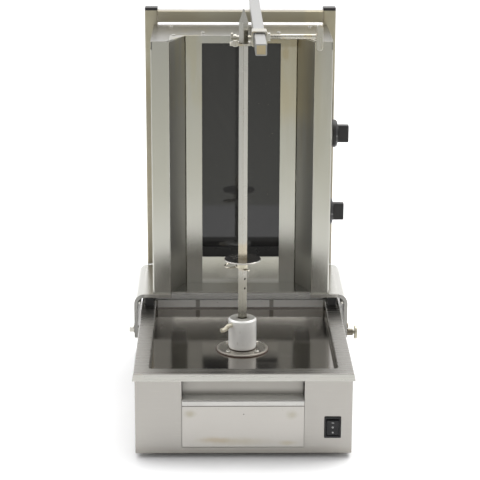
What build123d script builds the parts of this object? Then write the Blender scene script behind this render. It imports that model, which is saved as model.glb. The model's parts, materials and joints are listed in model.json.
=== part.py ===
from build123d import *
import math
import os

# Electric vertical kebab grill with a sliding heater tower.
# Millimetres.  X to the right, Y away from the user, Z up, Z = 0 on the worktop.
# While modelling, Y is measured back from the front face of the base box; every
# piece is moved by -base_depth / 2 on export, so the row origin is the centre of
# the footprint at worktop level.

# ---------------------------------------------------------------- dimensions
base_half_w = 169.2          # outer face of the base side walls
base_depth = 520.0
sheet = 1.5                  # main stainless sheet
foot_h = 8.0
foot_r = 13.0
foot_x, foot_y_front, foot_y_back = 128.0, 38.0, 478.0
rim_z = 140.0                # top of the deck rim
lip_z = 129.0                # lower edge of the deck lip
rim_half_w = 170.8
lip_flare = 2.0
tray_half_w = 147.0
tray_y0, tray_y1 = 24.0, 369.0
tray_floor_z = 124.0

drawer_x = -1.0              # drawer centre
drawer_half = 95.0
drawer_gap = 0.5
drawer_z0, drawer_z1 = 18.0, 97.0
grip_depth = 23.5            # finger recess above the drawer front
grip_top_z = 120.2
drawer_len = 118.0

switch_x, switch_z = 138.9, 51.3
switch_w, switch_h = 26.4, 35.4

spit_y = 159.0               # the turning axis, at X = 0
spit_side = 10.3
spit_turn = 45.0             # flats turned from square to the front, degrees
spit_bottom_z, spit_shoulder_z, spit_top_z = 151.0, 661.0, 681.3
hole_z0, hole_pitch, hole_r = 229.0, 16.0, 1.8

hub_r, hub_z0, hub_z1 = 22.8, 131.0, 178.4
hub_bore_r = 8.2
shaft_r = 7.0
flange_r, flange_z0, flange_z1 = 41.7, 124.8, 127.1
flange_pcd = 65.0
pin_r = 3.7
pin_dir = math.radians(217.0)

disc_r, disc_t, disc_z1 = 29.6, 2.5, 278.5
disc_clear = 0.35

bracket_half_w, bracket_t, bracket_r = 183.65, 6.0, 18.0
bracket_z0, bracket_z1 = 86.0, 167.5
bracket_y0, bracket_y1 = 314.4, 492.0
bracket_inner_x = 119.5

wing_y, wing_out, wing_in = 318.4, 151.0, 121.0
frame_y, frame_half = 378.0, 95.0
tower_back_y = 494.0
floor_t = 2.0
hood_z = 604.5
hood_t = 1.5
open_half, open_z0, open_z1 = 66.6, 216.0, 591.0
glass_lean = 0.0             # degrees, top edge further from the spit
glass_y0, glass_t = 384.0, 4.0   # front face of the glass at open_z0

post_side = 22.0
post_y0 = 494.0
post_x = 155.6
post_top = 629.0
cap_h = 5.0
rail_z0, rail_z1 = 608.0, 628.0

arm_x, arm_side = 24.4, 17.5
arm_z0 = rail_z1
arm_y0 = 46.0
sleeve_y0, sleeve_y1 = 144.0, 174.0
sleeve_side, sleeve_wall = 24.0, 2.0
guide_z1, guide_t = 628.4, 3.0
guide_hole_r = 9.0
clamp_z, clamp_y, clamp_r = 638.6, 156.0, 3.6

knob_y, upper_knob_z, lower_knob_z = 406.0, 430.0, 291.5
knob_skirt_r = 23.8
knob_skirt_t, knob_len = 8.5, 28.5

thumb_y, thumb_z = 322.0, 96.5
bolt_y, bolt_z = 322.0, 108.0

arm_cz = arm_z0 + arm_side / 2
lean = math.radians(glass_lean)


# ---------------------------------------------------------------- helpers
def box(x0, x1, y0, y1, z0, z1):
    return Pos((x0 + x1) / 2, (y0 + y1) / 2, (z0 + z1) / 2) * Box(
        abs(x1 - x0), abs(y1 - y0), abs(z1 - z0))


def cyl_z(x, y, z0, z1, r):
    return Pos(x, y, (z0 + z1) / 2) * Cylinder(r, z1 - z0)


def cyl_x(x0, x1, y, z, r):
    return Pos((x0 + x1) / 2, y, z) * Rot(0, 90, 0) * Cylinder(r, x1 - x0)


def cyl_y(x, y0, y1, z, r):
    return Pos(x, (y0 + y1) / 2, z) * Rot(90, 0, 0) * Cylinder(r, y1 - y0)


def to3(u, v, plane, w):
    if plane == "XY":
        return Vector(u, v, w)
    if plane == "XZ":
        return Vector(u, w, v)
    return Vector(w, u, v)       # "YZ"


def along(plane):
    return {"XY": (0, 0, 1), "XZ": (0, 1, 0), "YZ": (1, 0, 0)}[plane]


def prism(points, plane, w0, w1):
    """A polygon in one plane, drawn out from w0 to w1 along the third axis."""
    pts = [to3(u, v, plane, w0) for u, v in points]
    edges = [Line(pts[i], pts[(i + 1) % len(pts)]) for i in range(len(pts))]
    return extrude(make_face(Wire(edges)), amount=w1 - w0, dir=along(plane))


def bent(points, plane, w0, w1, t, r=0.0):
    """A bent sheet: its middle line is a polyline with bends of radius r."""
    n = len(points)
    radii = [r] * n if not isinstance(r, (list, tuple)) else [0] + list(r) + [0]
    segs = []
    start = points[0]
    for i in range(1, n - 1):
        a, b, c = points[i - 1], points[i], points[i + 1]
        d1 = math.hypot(b[0] - a[0], b[1] - a[1])
        d2 = math.hypot(c[0] - b[0], c[1] - b[1])
        u1 = ((b[0] - a[0]) / d1, (b[1] - a[1]) / d1)
        u2 = ((c[0] - b[0]) / d2, (c[1] - b[1]) / d2)
        cross = u1[0] * u2[1] - u1[1] * u2[0]
        turn = math.atan2(cross, u1[0] * u2[0] + u1[1] * u2[1])
        ri = max(radii[i], t * 0.6)
        tl = ri * abs(math.tan(turn / 2))
        p1 = (b[0] - u1[0] * tl, b[1] - u1[1] * tl)
        p2 = (b[0] + u2[0] * tl, b[1] + u2[1] * tl)
        s = 1 if turn > 0 else -1
        centre = (p1[0] - s * u1[1] * ri, p1[1] + s * u1[0] * ri)
        segs.append(("line", start, p1))
        segs.append(("arc", p1, p2, centre, ri, s, turn, u1, u2))
        start = p2
    segs.append(("line", start, points[-1]))
    h = t / 2

    def side(o):
        out = []
        for sg in segs:
            if sg[0] == "line":
                a, b = sg[1], sg[2]
                d = math.hypot(b[0] - a[0], b[1] - a[1])
                nx, ny = -(b[1] - a[1]) / d * o, (b[0] - a[0]) / d * o
                out.append(("line", (a[0] + nx, a[1] + ny), (b[0] + nx, b[1] + ny)))
            else:
                _, p1, p2, c, ri, s, turn, u1, u2 = sg
                ro = ri - s * o
                a0 = math.atan2(p1[1] - c[1], p1[0] - c[0])
                pa = (c[0] + ro * math.cos(a0), c[1] + ro * math.sin(a0))
                pm = (c[0] + ro * math.cos(a0 + turn / 2), c[1] + ro * math.sin(a0 + turn / 2))
                pb = (c[0] + ro * math.cos(a0 + turn), c[1] + ro * math.sin(a0 + turn))
                out.append(("arc", pa, pm, pb))
        return out

    left, right = side(h), side(-h)
    edges = []

    def add(sg, flip):
        pts = [to3(q[0], q[1], plane, w0) for q in sg[1:]]
        if flip:
            pts = pts[::-1]
        edges.append(Line(*pts) if sg[0] == "line" else ThreePointArc(*pts))

    for sg in left:
        add(sg, False)
    edges.append(Line(to3(*left[-1][-1], plane, w0), to3(*right[-1][-1], plane, w0)))
    for sg in reversed(right):
        add(sg, True)
    edges.append(Line(to3(*right[0][1], plane, w0), to3(*left[0][1], plane, w0)))
    return extrude(make_face(Wire(edges)), amount=w1 - w0, dir=along(plane))


def soften(shape, edges, r):
    """Round edges, and leave them sharp if the kernel refuses."""
    try:
        out = fillet(edges, r)
        return out if out.is_valid else shape
    except Exception:
        return shape


def frustum(half_x0, half_x1, y0a, y1a, y0b, y1b, z0, z1):
    """A block whose rectangle changes from (half_x0, y0a..y1a) at z0 to (half_x1, y0b..y1b) at z1."""
    a = Pos(0, (y0a + y1a) / 2, z0) * Rectangle(2 * half_x0, y1a - y0a)
    b = Pos(0, (y0b + y1b) / 2, z1) * Rectangle(2 * half_x1, y1b - y0b)
    return loft([a, b])


def mirror_x(shape):
    return mirror(shape, about=Plane.YZ)


parts = {}


def glass_frame(points_x, u0, u1, d0, d1):
    """A block that lies with the glass: u up its face, d behind its front face."""
    x0, x1 = points_x
    blk = Pos((x0 + x1) / 2, (d0 + d1) / 2, (u0 + u1) / 2) * Box(x1 - x0, d1 - d0, u1 - u0)
    return Pos(0, glass_y0, open_z0) * Rot(-glass_lean, 0, 0) * blk


# ---------------------------------------------------------------- base box
bz0 = foot_h
under_rim = rim_z - sheet
shell = box(-base_half_w, base_half_w, 0, base_depth, bz0, under_rim) - box(
    -base_half_w + sheet, base_half_w - sheet, sheet, base_depth + 1, bz0 - 1, under_rim + 1)
shell -= box(drawer_x - drawer_half - drawer_gap, drawer_x + drawer_half + drawer_gap,
             -1, sheet + 1, drawer_z0 - 0.5, 127.8)
shell -= box(switch_x - 11, switch_x + 11, -1, sheet + 1, switch_z - 15, switch_z + 15)
gland_y, gland_z = 495.0, 31.0
shell -= cyl_x(-base_half_w - 1, -base_half_w + sheet + 1, gland_y, gland_z, 8.2)
front_corner = shell.edges().filter_by(Axis.Z).filter_by(
    lambda e: abs(abs(e.center().X) - base_half_w) < 0.01 and e.center().Y < 0.01)
shell = soften(shell, front_corner, 1.4)
parts["base_shell"] = shell

pan_in = base_half_w - sheet
pan = box(-pan_in, pan_in, sheet, base_depth - sheet, bz0, 16) - box(
    -pan_in + 1.2, pan_in - 1.2, sheet + 1.2, base_depth - sheet - 1.2, bz0 + 1.2, 17)
for i in range(7):
    pan -= box(-45 + i * 15 - 2.5, -45 + i * 15 + 2.5, 215, 275, bz0 - 1, bz0 + 2)
parts["base_floor"] = pan

rear = box(-pan_in, pan_in, base_depth - sheet, base_depth, bz0, under_rim)
for i in range(6):
    rear -= box(-70, 70, base_depth - 3, base_depth + 1, 60 + i * 10, 64 + i * 10)
parts["base_rear_panel"] = rear

# deck: flared lip, flat rim and a pressed drip tray
fy = 1.6
outer = frustum(rim_half_w + lip_flare, rim_half_w, -fy - lip_flare, base_depth + fy + lip_flare,
                -fy, base_depth + fy, lip_z, rim_z)
outer = soften(outer, outer.edges().filter_by(
    lambda e: e.center().Z > rim_z - 0.01), 1.4)
inner = frustum(rim_half_w + lip_flare - sheet, rim_half_w - sheet,
                -fy - lip_flare + sheet, base_depth + fy + lip_flare - sheet,
                -fy + sheet, base_depth + fy - sheet, lip_z - 0.001, under_rim)
deck = outer - inner
well_out = box(-tray_half_w - sheet, tray_half_w + sheet, tray_y0 - sheet, tray_y1 + sheet,
               tray_floor_z - sheet, under_rim + 0.2)
well_out = soften(well_out, well_out.edges().filter_by(Axis.Z), 7.5)
well_in = box(-tray_half_w, tray_half_w, tray_y0, tray_y1, tray_floor_z, rim_z + 5)
well_in = soften(well_in, well_in.edges().filter_by(Axis.Z), 6.0)
deck = deck + well_out - well_in
deck = soften(deck, deck.edges().filter_by(
    lambda e: e.center().Z > rim_z - 0.01 and abs(e.center().X) < tray_half_w + 0.1
    and tray_y0 - 0.1 < e.center().Y < tray_y1 + 0.1), 1.3)
deck -= cyl_z(0, spit_y, tray_floor_z - 3, tray_floor_z + 3, 15)
screw_xy = [(flange_pcd / 2 * math.cos(math.radians(a)),
             spit_y + flange_pcd / 2 * math.sin(math.radians(a))) for a in (45, 135, 225, 315)]
for x, y in screw_xy:
    deck -= cyl_z(x, y, tray_floor_z - 3, tray_floor_z + 3, 2.1)
drain = box(-20, 20, 46, 56, tray_floor_z - 3, tray_floor_z + 3)
drain = soften(drain, drain.edges().filter_by(Axis.Z), 4.9)
deck -= drain
parts["deck"] = deck

feet = []
for x in (-foot_x, foot_x):
    for y in (foot_y_front, foot_y_back):
        f = Pos(x, y, foot_h / 2) * Cone(foot_r - 1.5, foot_r, foot_h)
        f = soften(f, f.edges().filter_by(lambda e: e.center().Z < 0.01), 1.0)
        feet.append(f)
parts["feet"] = feet

# ---------------------------------------------------------------- grease drawer
dx0, dx1 = drawer_x - drawer_half, drawer_x + drawer_half
face_y = -2.5
front = bent([(grip_depth - 1.5, drawer_z0 + 0.75), (face_y + 0.75, drawer_z0 + 0.75),
              (face_y + 0.75, drawer_z1 - 0.75), (grip_depth - 0.75, drawer_z1 - 0.75),
              (grip_depth + 3.6, grip_top_z)], "YZ", dx0, dx1, 1.5, 1.2)
hem = box(dx0, dx1, face_y - 2.0, face_y, drawer_z1 - 8.5, drawer_z1 - 0.6)
hem = soften(hem, hem.edges().filter_by(Axis.X).filter_by(
    lambda e: e.center().Y < face_y - 1), 0.7)
parts["drawer_front"] = front + hem
tx = 91.0
tray = box(drawer_x - tx, drawer_x + tx, grip_depth - 1.5, drawer_len, drawer_z0, drawer_z1 - 1.5)
tray = soften(tray, tray.edges().filter_by(Axis.Z), 4.0)
tray_in = box(drawer_x - tx + 1.2, drawer_x + tx - 1.2, grip_depth - 0.3, drawer_len - 1.2,
              drawer_z0 + 1.2, drawer_z1 + 5)
tray_in = soften(tray_in, tray_in.edges().filter_by(Axis.Z), 2.8)
tray = tray - tray_in - box(drawer_x - tx - 1, drawer_x + tx + 1, 30, drawer_len + 1, 88, 100)
parts["drawer_tray"] = tray
runners = []
for s in (-1, 1):
    web = box(drawer_x + s * 92.3, drawer_x + s * 93.8, 26, 120, bz0 + 1.2, 42)
    ledge = box(drawer_x + s * 84, drawer_x + s * 92.3, 26, 120, drawer_z0 - 1.9, drawer_z0 - 0.3)
    runners.append(web + ledge)
parts["drawer_runners"] = runners

# ---------------------------------------------------------------- rocker switch
bez = box(switch_x - switch_w / 2, switch_x + switch_w / 2, -2.0, 0, switch_z - switch_h / 2, switch_z + switch_h / 2)
bez = soften(bez, bez.edges().filter_by(lambda e: e.center().Y < -0.5), 1.0)
bez += box(switch_x - 10.9, switch_x + 10.9, -0.2, 22, switch_z - 14.9, switch_z + 14.9)
bez -= box(switch_x - 10.0, switch_x + 10.0, -4, 16, switch_z - 14.0, switch_z + 14.0)
pin_y = 6.0
bez += cyl_x(switch_x - 10.3, switch_x + 10.3, pin_y, switch_z, 1.2)
parts["switch_housing"] = bez
rk = prism([(11.0, -9.5), (-2.6, -12.6), (-3.9, -11.9), (-2.4, 0.0), (-3.9, 11.9), (-2.6, 12.6), (11.0, 9.5)],
           "YZ", switch_x - 9.5, switch_x + 9.5)
rk = Pos(0, 0, switch_z) * rk
rk = soften(rk, rk.edges().filter_by(lambda e: e.center().Y < -2.0 and abs(e.center().X - switch_x) > 8), 0.6)
rk -= cyl_x(switch_x - 10, switch_x + 10, pin_y, switch_z, 1.25)
parts["switch_rocker"] = rk

# ---------------------------------------------------------------- drive
mb = box(-55, 55, spit_y - 40, spit_y + 55, 119, tray_floor_z - sheet)
for s in (-1, 1):
    mb += box(s * 38.1, s * 40.1, spit_y - 32, spit_y + 45, 62, 119)
mb -= cyl_z(0, spit_y, 115, 125, 15)
for x, y in screw_xy:
    mb -= cyl_z(x, y, 115, 125, 2.0)
parts["motor_bracket"] = mb
gb = box(-38.1, 38.1, spit_y - 32, spit_y + 45, 58, 98)
gb = soften(gb, gb.edges().filter_by(Axis.Z), 6)
gb += cyl_z(0, spit_y, 97, 100, 20)
gb -= cyl_z(0, spit_y, 80, 101, shaft_r + 0.05)
gb += cyl_y(0, spit_y + 45, spit_y + 155, 74, 27)
gb += cyl_y(0, spit_y + 155, spit_y + 165, 74, 22)
parts["gear_motor"] = gb
brg = cyl_z(0, spit_y, 108, 119, 21) - cyl_z(0, spit_y, 107, 120, shaft_r + 0.05)
brg += (cyl_z(0, spit_y, 115, 119, 27) - cyl_z(0, spit_y, 107, 120, 20))
parts["shaft_bearing"] = brg
shaft = cyl_z(0, spit_y, 82, 150, shaft_r)
shaft += cyl_z(0, spit_y, 128.0, hub_z0, 11.0)
parts["drive_shaft"] = shaft

gk = cyl_z(0, spit_y, tray_floor_z, flange_z0, flange_r + 0.8) - cyl_z(0, spit_y, 120, 130, 13.5)
fl = cyl_z(0, spit_y, flange_z0, flange_z1, flange_r)
fl = soften(fl, fl.edges().filter_by(lambda e: e.center().Z > flange_z1 - 0.01), 0.8)
fl -= cyl_z(0, spit_y, 120, 130, 8.5)
screws = []
for x, y in screw_xy:
    gk -= cyl_z(x, y, 120, 130, 2.1)
    fl -= cyl_z(x, y, 120, 130, 2.1)
    head = cyl_z(x, y, flange_z1, flange_z1 + 2.6, 4.0)
    head = soften(head, head.edges().filter_by(lambda e: e.center().Z > flange_z1 + 2.5), 1.6)
    head -= box(x - 2.4, x + 2.4, y - 0.5, y + 0.5, flange_z1 + 1.2, flange_z1 + 4)
    head -= box(x - 0.5, x + 0.5, y - 2.4, y + 2.4, flange_z1 + 1.2, flange_z1 + 4)
    screws.append(head + cyl_z(x, y, 115, flange_z1, 2.0))
parts["flange_gasket"] = gk
parts["hub_flange"] = fl
parts["flange_screws"] = screws

# ---------------------------------------------------------------- hub, locking pin
hub = cyl_z(0, spit_y, hub_z0, hub_z1, hub_r)
hub = chamfer(hub.edges().filter_by(lambda e: e.center().Z > hub_z1 - 0.01), 2.6)
hub = soften(hub, hub.edges().filter_by(lambda e: e.center().Z < hub_z0 + 0.01), 0.8)
hub -= cyl_z(0, spit_y, 149.9, hub_z1 + 1, hub_bore_r)
hub -= cyl_z(0, spit_y, hub_z0 - 1, 150, shaft_r)
pin_z = 169.5
ux, uy = math.cos(pin_dir), math.sin(pin_dir)


def radial(r, z):
    return (r * ux, spit_y + r * uy, z)


bore = Pos(*radial(20, pin_z)) * Rot(0, 0, math.degrees(pin_dir)) * Rot(0, 90, 0) * Cylinder(pin_r + 0.05, 30)
hub -= bore
parts["hub"] = hub
path = FilletPolyline(radial(6.1, pin_z), radial(28, pin_z), radial(35.5, pin_z - 4.5),
                      radial(43.0, pin_z - 5.0), radius=4.4)
sect = Plane(origin=radial(6.1, pin_z), z_dir=(ux, uy, 0)) * Circle(pin_r)
lp = sweep(sect, path=path)
parts["locking_pin"] = lp

# ---------------------------------------------------------------- spit and its disc
h = spit_side / 2
spit = Pos(0, 0, (spit_bottom_z + spit_shoulder_z) / 2) * Box(
    spit_side, spit_side, spit_shoulder_z - spit_bottom_z)
spit = soften(spit, spit.edges().filter_by(Axis.Z), 0.5)
tip = loft([Pos(0, 0, spit_shoulder_z) * Rectangle(spit_side - 0.02, spit_side - 0.02),
            Pos(0, 0, spit_top_z) * Rectangle(1.2, 1.2)])
spit += tip
for i in range(4):
    spit -= Pos(0, 0, hole_z0 + i * hole_pitch) * Rot(0, 90, 0) * Cylinder(hole_r, 30)
spit = Pos(0, spit_y, 0) * Rot(0, 0, -spit_turn) * spit
parts["spit"] = spit
sq = spit_side + 2 * disc_clear
square = Pos(0, spit_y, 200) * Rot(0, 0, -spit_turn) * Box(sq, sq, 300)
dsc = cyl_z(0, spit_y, disc_z1 - disc_t, disc_z1, disc_r)
dsc = soften(dsc, dsc.edges().filter_by(GeomType.CIRCLE), 0.9)
clip_z = hole_z0 + 2 * hole_pitch
collar = cyl_z(0, spit_y, clip_z + 2.2, disc_z1 - disc_t, 8.7)
collar = soften(collar, collar.edges().filter_by(lambda e: e.center().Z < clip_z + 3), 0.4)
parts["meat_disc"] = dsc + collar - square
wire = 1.5
cp = Pos(-1.0, 0, clip_z) * Rot(0, 90, 0) * Cylinder(wire, 30)
ring = Pos(-26.0, 0, clip_z) * Rot(7, 0, 0) * Torus(10.0, wire - 0.1)
clip = cp + ring
parts["retaining_clip"] = Pos(0, spit_y, 0) * Rot(0, 0, -spit_turn) * clip

# ---------------------------------------------------------------- saddle brackets
bt = bracket_t / 2


def bracket(side):
    pts = [(side * bracket_inner_x, bracket_z1 - bt), (side * (bracket_half_w - bt), bracket_z1 - bt),
           (side * (bracket_half_w - bt), bracket_z0)]
    b = bent(pts, "XZ", bracket_y0, bracket_y1, bracket_t, bracket_r - bt)
    b = soften(b, b.edges().filter_by(Axis.X).filter_by(
        lambda e: e.length < 7 and e.center().Z < bracket_z0 + 1), 6.0)
    return b


right_b = bracket(1) - cyl_x(170, 190, thumb_y, thumb_z, 3.05) - cyl_x(170, 190, bolt_y, bolt_z, 3.0)
left_b = bracket(-1) - cyl_x(-190, -170, bolt_y - 2, bolt_z - 3, 4.0)
parts["right_bracket"] = right_b
parts["left_bracket"] = left_b
pads = []
for s in (-1, 1):
    for y0, y1 in ((336, 366), (446, 476)):
        pads.append(box(s * 151, s * 165.3, y0, y1, rim_z + 0.2, bracket_z1 - bracket_t))
parts["slide_pads"] = pads
rod_c = bracket_half_w - bracket_r, bracket_z1 - bracket_r
ra = math.radians(12)
rod_x = rod_c[0] + (bracket_r - bracket_t - 2.9) * math.cos(ra)
rod_z = rod_c[1] + (bracket_r - bracket_t - 2.9) * math.sin(ra)
rods = []
for s in (-1, 1):
    r_ = cyl_y(s * rod_x, bracket_y0 + 2, bracket_y1 - 4, rod_z, 2.85)
    rods.append(soften(r_, r_.edges().filter_by(lambda e: e.center().Y < bracket_y0 + 3), 1.2))
parts["guide_rods"] = rods


def hexagon_x(x0, x1, y, z, af):
    pts = [(y + af / math.sqrt(3) * math.cos(math.radians(60 * i + 30)),
            z + af / math.sqrt(3) * math.sin(math.radians(60 * i + 30))) for i in range(6)]
    return prism(pts, "YZ", min(x0, x1), max(x0, x1))


bw = bracket_half_w
left_bolt = hexagon_x(-bw - 8.7, -bw - 1.5, bolt_y - 2, bolt_z - 3, 13) + cyl_x(
    -bw - 1.5, -bw, bolt_y - 2, bolt_z - 3, 8) + cyl_x(-bw, -bw + 12, bolt_y - 2, bolt_z - 3, 4.0)
right_bolt = hexagon_x(bw, bw + 2.6, bolt_y, bolt_z, 8) + cyl_x(bw - 8, bw, bolt_y, bolt_z, 3.0)
parts["bracket_bolts"] = [left_bolt, right_bolt]
boss = cyl_x(bw, bw + 10.5, thumb_y, thumb_z, 6.0)
boss = soften(boss, boss.edges().filter_by(lambda e: e.center().X > bw + 10), 0.8)
parts["clamp_boss"] = boss - cyl_x(bw - 1, bw + 12, thumb_y, thumb_z, 3.05)
ts = cyl_x(base_half_w + 0.5, bw + 13.0, thumb_y, thumb_z, 3.0)
th = cyl_x(bw + 12.6, bw + 17.7, thumb_y, thumb_z, 11.7)
th = soften(th, th.edges().filter_by(GeomType.CIRCLE), 1.2)
for i in range(20):
    a = math.radians(i * 18)
    th -= cyl_x(bw + 11, bw + 21, thumb_y + 12.3 * math.cos(a), thumb_z + 12.3 * math.sin(a), 0.9)
parts["thumb_screw"] = ts + th

# ---------------------------------------------------------------- heater tower
tz0 = bracket_z1
tz1 = tz0 + floor_t
top_in = hood_z - hood_t
post_out = post_x + post_side / 2
apron_y = 322.6              # straight front edge of the floor plate between the wings
floor_pts = [(-wing_out, wing_y), (-wing_in - 1, wing_y), (-wing_in + 3, apron_y), (wing_in - 3, apron_y),
             (wing_in + 1, wing_y), (wing_out, wing_y), (wing_out, tower_back_y), (post_out, tower_back_y),
             (post_out, post_y0 + post_side), (-post_out, post_y0 + post_side),
             (-post_out, tower_back_y), (-wing_out, tower_back_y)]
parts["tower_floor"] = prism(floor_pts, "XY", tz0, tz1)

ht = sheet / 2


def cheek(s):
    pts = [(s * (wing_out - ht), tower_back_y - 1.6), (s * (wing_out - ht), wing_y + ht),
           (s * (wing_in + 0.4), wing_y + ht), (s * (frame_half - 0.3), frame_y + sheet + ht),
           (s * (frame_half - 12), frame_y + sheet + ht)]
    c = bent(pts, "XY", tz1, top_in, sheet, 1.6)
    c -= box(s * 148.6, s * 153, wing_y - 2, wing_y + 10, 590.5, top_in + 1)
    c -= box(s * (wing_out - 1.55), s * (wing_out + 1), wing_y + 5, tower_back_y + 1, 592, top_in + 1)
    return c


rc = cheek(1)
for z in (upper_knob_z, lower_knob_z):
    rc -= cyl_x(wing_out - 4, wing_out + 2, knob_y, z, 5.0)
parts["right_cheek"] = rc
parts["left_cheek"] = cheek(-1)

cf = box(-frame_half + 1.3, frame_half - 1.3, frame_y, frame_y + sheet, tz1, top_in)
cf -= box(-open_half, open_half, frame_y - 1, frame_y + 3, open_z0, open_z1)
# doubler below the window, its top edge tucked back against the frame
cf += prism([(frame_y + 0.3, tz1 + 0.1), (frame_y - 4.1, tz1 + 0.1), (frame_y - 0.6, open_z0 - 0.2),
             (frame_y + 0.3, open_z0 - 0.2)], "YZ", -open_half, open_half)
parts["centre_frame"] = cf
# reveal: four returns from the frame back to the glass
rv = box(-open_half - 1.2, open_half + 1.2, frame_y + sheet, 470, open_z0 - 1.2, open_z1 + 1.2)
rv -= box(-open_half, open_half, frame_y - 1, 480, open_z0, open_z1)
rv -= glass_frame((-200, 200), -100, 600, 0, 200)
# black seal across the foot of the glass
rv += box(-open_half - 0.6, open_half + 0.6, glass_y0 - 1.6, glass_y0, open_z0 - 0.6, open_z0 + 16.6)
parts["glass_reveal"] = rv
glass_u1 = (open_z1 - open_z0) / math.cos(lean) + 8
gl = glass_frame((-open_half - 6, open_half + 6), -8, glass_u1, 0, glass_t)
parts["ceramic_glass"] = gl


def heater(u0, u1):
    pn = glass_frame((-64, 64), u0, u1, glass_t + 0.5, glass_t + 26)
    pn -= glass_frame((-58, 58), u0 + 6, u1 - 6, glass_t, glass_t + 18)
    return pn


def coils(u0, u1):
    out = []
    n = 7
    for i in range(n):
        u = u0 + 16 + (u1 - u0 - 32) * i / (n - 1)
        out.append(glass_frame((-52, 52), u - 3, u + 3, glass_t + 12, glass_t + 18))
    return out


zone = [(14.0, 178.0), (196.0, 360.0)]
parts["lower_heater_pan"] = heater(*zone[0])
parts["upper_heater_pan"] = heater(*zone[1])
parts["heating_elements"] = coils(*zone[0]) + coils(*zone[1])
bars = []
for u in (30, 162, 212, 344):
    bars.append(glass_frame((-90, 90), u - 6, u + 6, glass_t + 26, glass_t + 28))
for s in (-1, 1):
    bars.append(glass_frame((min(s * 90, s * 92), max(s * 90, s * 92)), 10, 364, 0.5, glass_t + 28))
parts["heater_frame"] = bars

bc = box(-wing_out + sheet + 0.1, wing_out - sheet - 0.1, tower_back_y - 1.6, tower_back_y - 0.1, tz1, top_in)
for i in range(9):
    bc -= box(-60, 60, tower_back_y - 4, tower_back_y + 1, 480 + i * 11, 484 + i * 11)
    bc -= box(-60, 60, tower_back_y - 4, tower_back_y + 1, 200 + i * 11, 204 + i * 11)
parts["back_cover"] = bc

hw = wing_out
hood_pts = [(-hw, wing_y - 1.0), (-wing_in - 4, wing_y - 1.0), (-frame_half + 0.6, frame_y - 1.6),
            (frame_half - 0.6, frame_y - 1.6), (wing_in + 4, wing_y - 1.0), (hw, wing_y - 1.0),
            (hw, tower_back_y), (-hw, tower_back_y)]
hood = prism(hood_pts, "XY", top_in, hood_z)
flg = box(-frame_half + 0.9, frame_half - 0.9, frame_y - 1.6, frame_y - 0.1, hood_z - 12.5, hood_z)
flg = soften(flg, flg.edges().filter_by(Axis.Y).filter_by(
    lambda e: e.center().Z < hood_z - 12), 3.0)
hood += flg
for s in (-1, 1):
    hood += box(s * (hw - 1.4), s * hw, wing_y + 6, tower_back_y, 592.1, hood_z)
hood = soften(hood, hood.edges().filter_by(
    lambda e: e.center().Z > hood_z - 0.01 and e.center().Y < frame_y), 0.7)
parts["hood"] = hood
hs = []
hood_screw_xy = [(-64.8, 402.5), (63.6, 404.0), (-113.8, 375.0), (114.5, 376.0), (-120, 470), (120, 470)]
for x, y in hood_screw_xy:
    d = Pos(x, y, hood_z) * Sphere(3.6) - box(x - 5, x + 5, y - 5, y + 5, hood_z - 6, hood_z)
    hs.append(d - (cyl_z(x, y, hood_z + 2.0, hood_z + 5, 5)))
parts["hood_rivets"] = hs

# energy regulators, spindles and knobs on the right cheek
wall_in = wing_out - sheet


def regulator(z):
    b = box(wall_in - 38, wall_in, knob_y - 19, knob_y + 19, z - 17, z + 17)
    b = soften(b, b.edges().filter_by(Axis.X), 3)
    b += box(wall_in - 48, wall_in - 38, knob_y - 14, knob_y + 14, z - 12, z + 12)
    return b - cyl_x(wall_in - 20, wall_in + 1, knob_y, z, 3.05)


def knob(x0, z):
    t = knob_skirt_t
    sk = cyl_x(x0, x0 + t, knob_y, z, knob_skirt_r)
    sk = chamfer(sk.edges().filter_by(GeomType.CIRCLE).filter_by(lambda e: e.center().X > x0 + 1), 3.0)
    sk = soften(sk, sk.edges().filter_by(GeomType.CIRCLE), 0.5)
    base = cyl_x(x0 + t - 0.2, x0 + t + 1.8, knob_y, z, 15.5)
    grip = box(x0 + t - 0.5, x0 + knob_len, knob_y - 7.0, knob_y + 7.0, z - 15.0, z + 15.0)
    grip = soften(grip, grip.edges().filter_by(lambda e: e.center().X > x0 + t + 1), 2.2)
    k = sk + base + grip
    return k - cyl_x(x0 - 1, x0 + 14, knob_y, z, 3.0)


def spindle(x_end, z):
    return cyl_x(wall_in - 18, x_end, knob_y, z, 3.0)


upper_x0, lower_x0 = 157.6, 151.7
parts["upper_regulator"] = regulator(upper_knob_z)
parts["lower_regulator"] = regulator(lower_knob_z)
parts["upper_knob"] = knob(upper_x0, upper_knob_z)
parts["lower_knob"] = knob(lower_x0, lower_knob_z)
parts["upper_spindle"] = spindle(upper_x0 + 14, upper_knob_z)
parts["lower_spindle"] = spindle(lower_x0 + 14, lower_knob_z)

# ---------------------------------------------------------------- rear frame and arm


def tube_z(cx, cy, z0, z1, side, wall):
    a = Pos(cx, cy, (z0 + z1) / 2) * Box(side, side, z1 - z0)
    a = soften(a, a.edges().filter_by(Axis.Z), 2.0)
    return a - Pos(cx, cy, (z0 + z1) / 2) * Box(side - 2 * wall, side - 2 * wall, z1 - z0 + 2)


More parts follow.
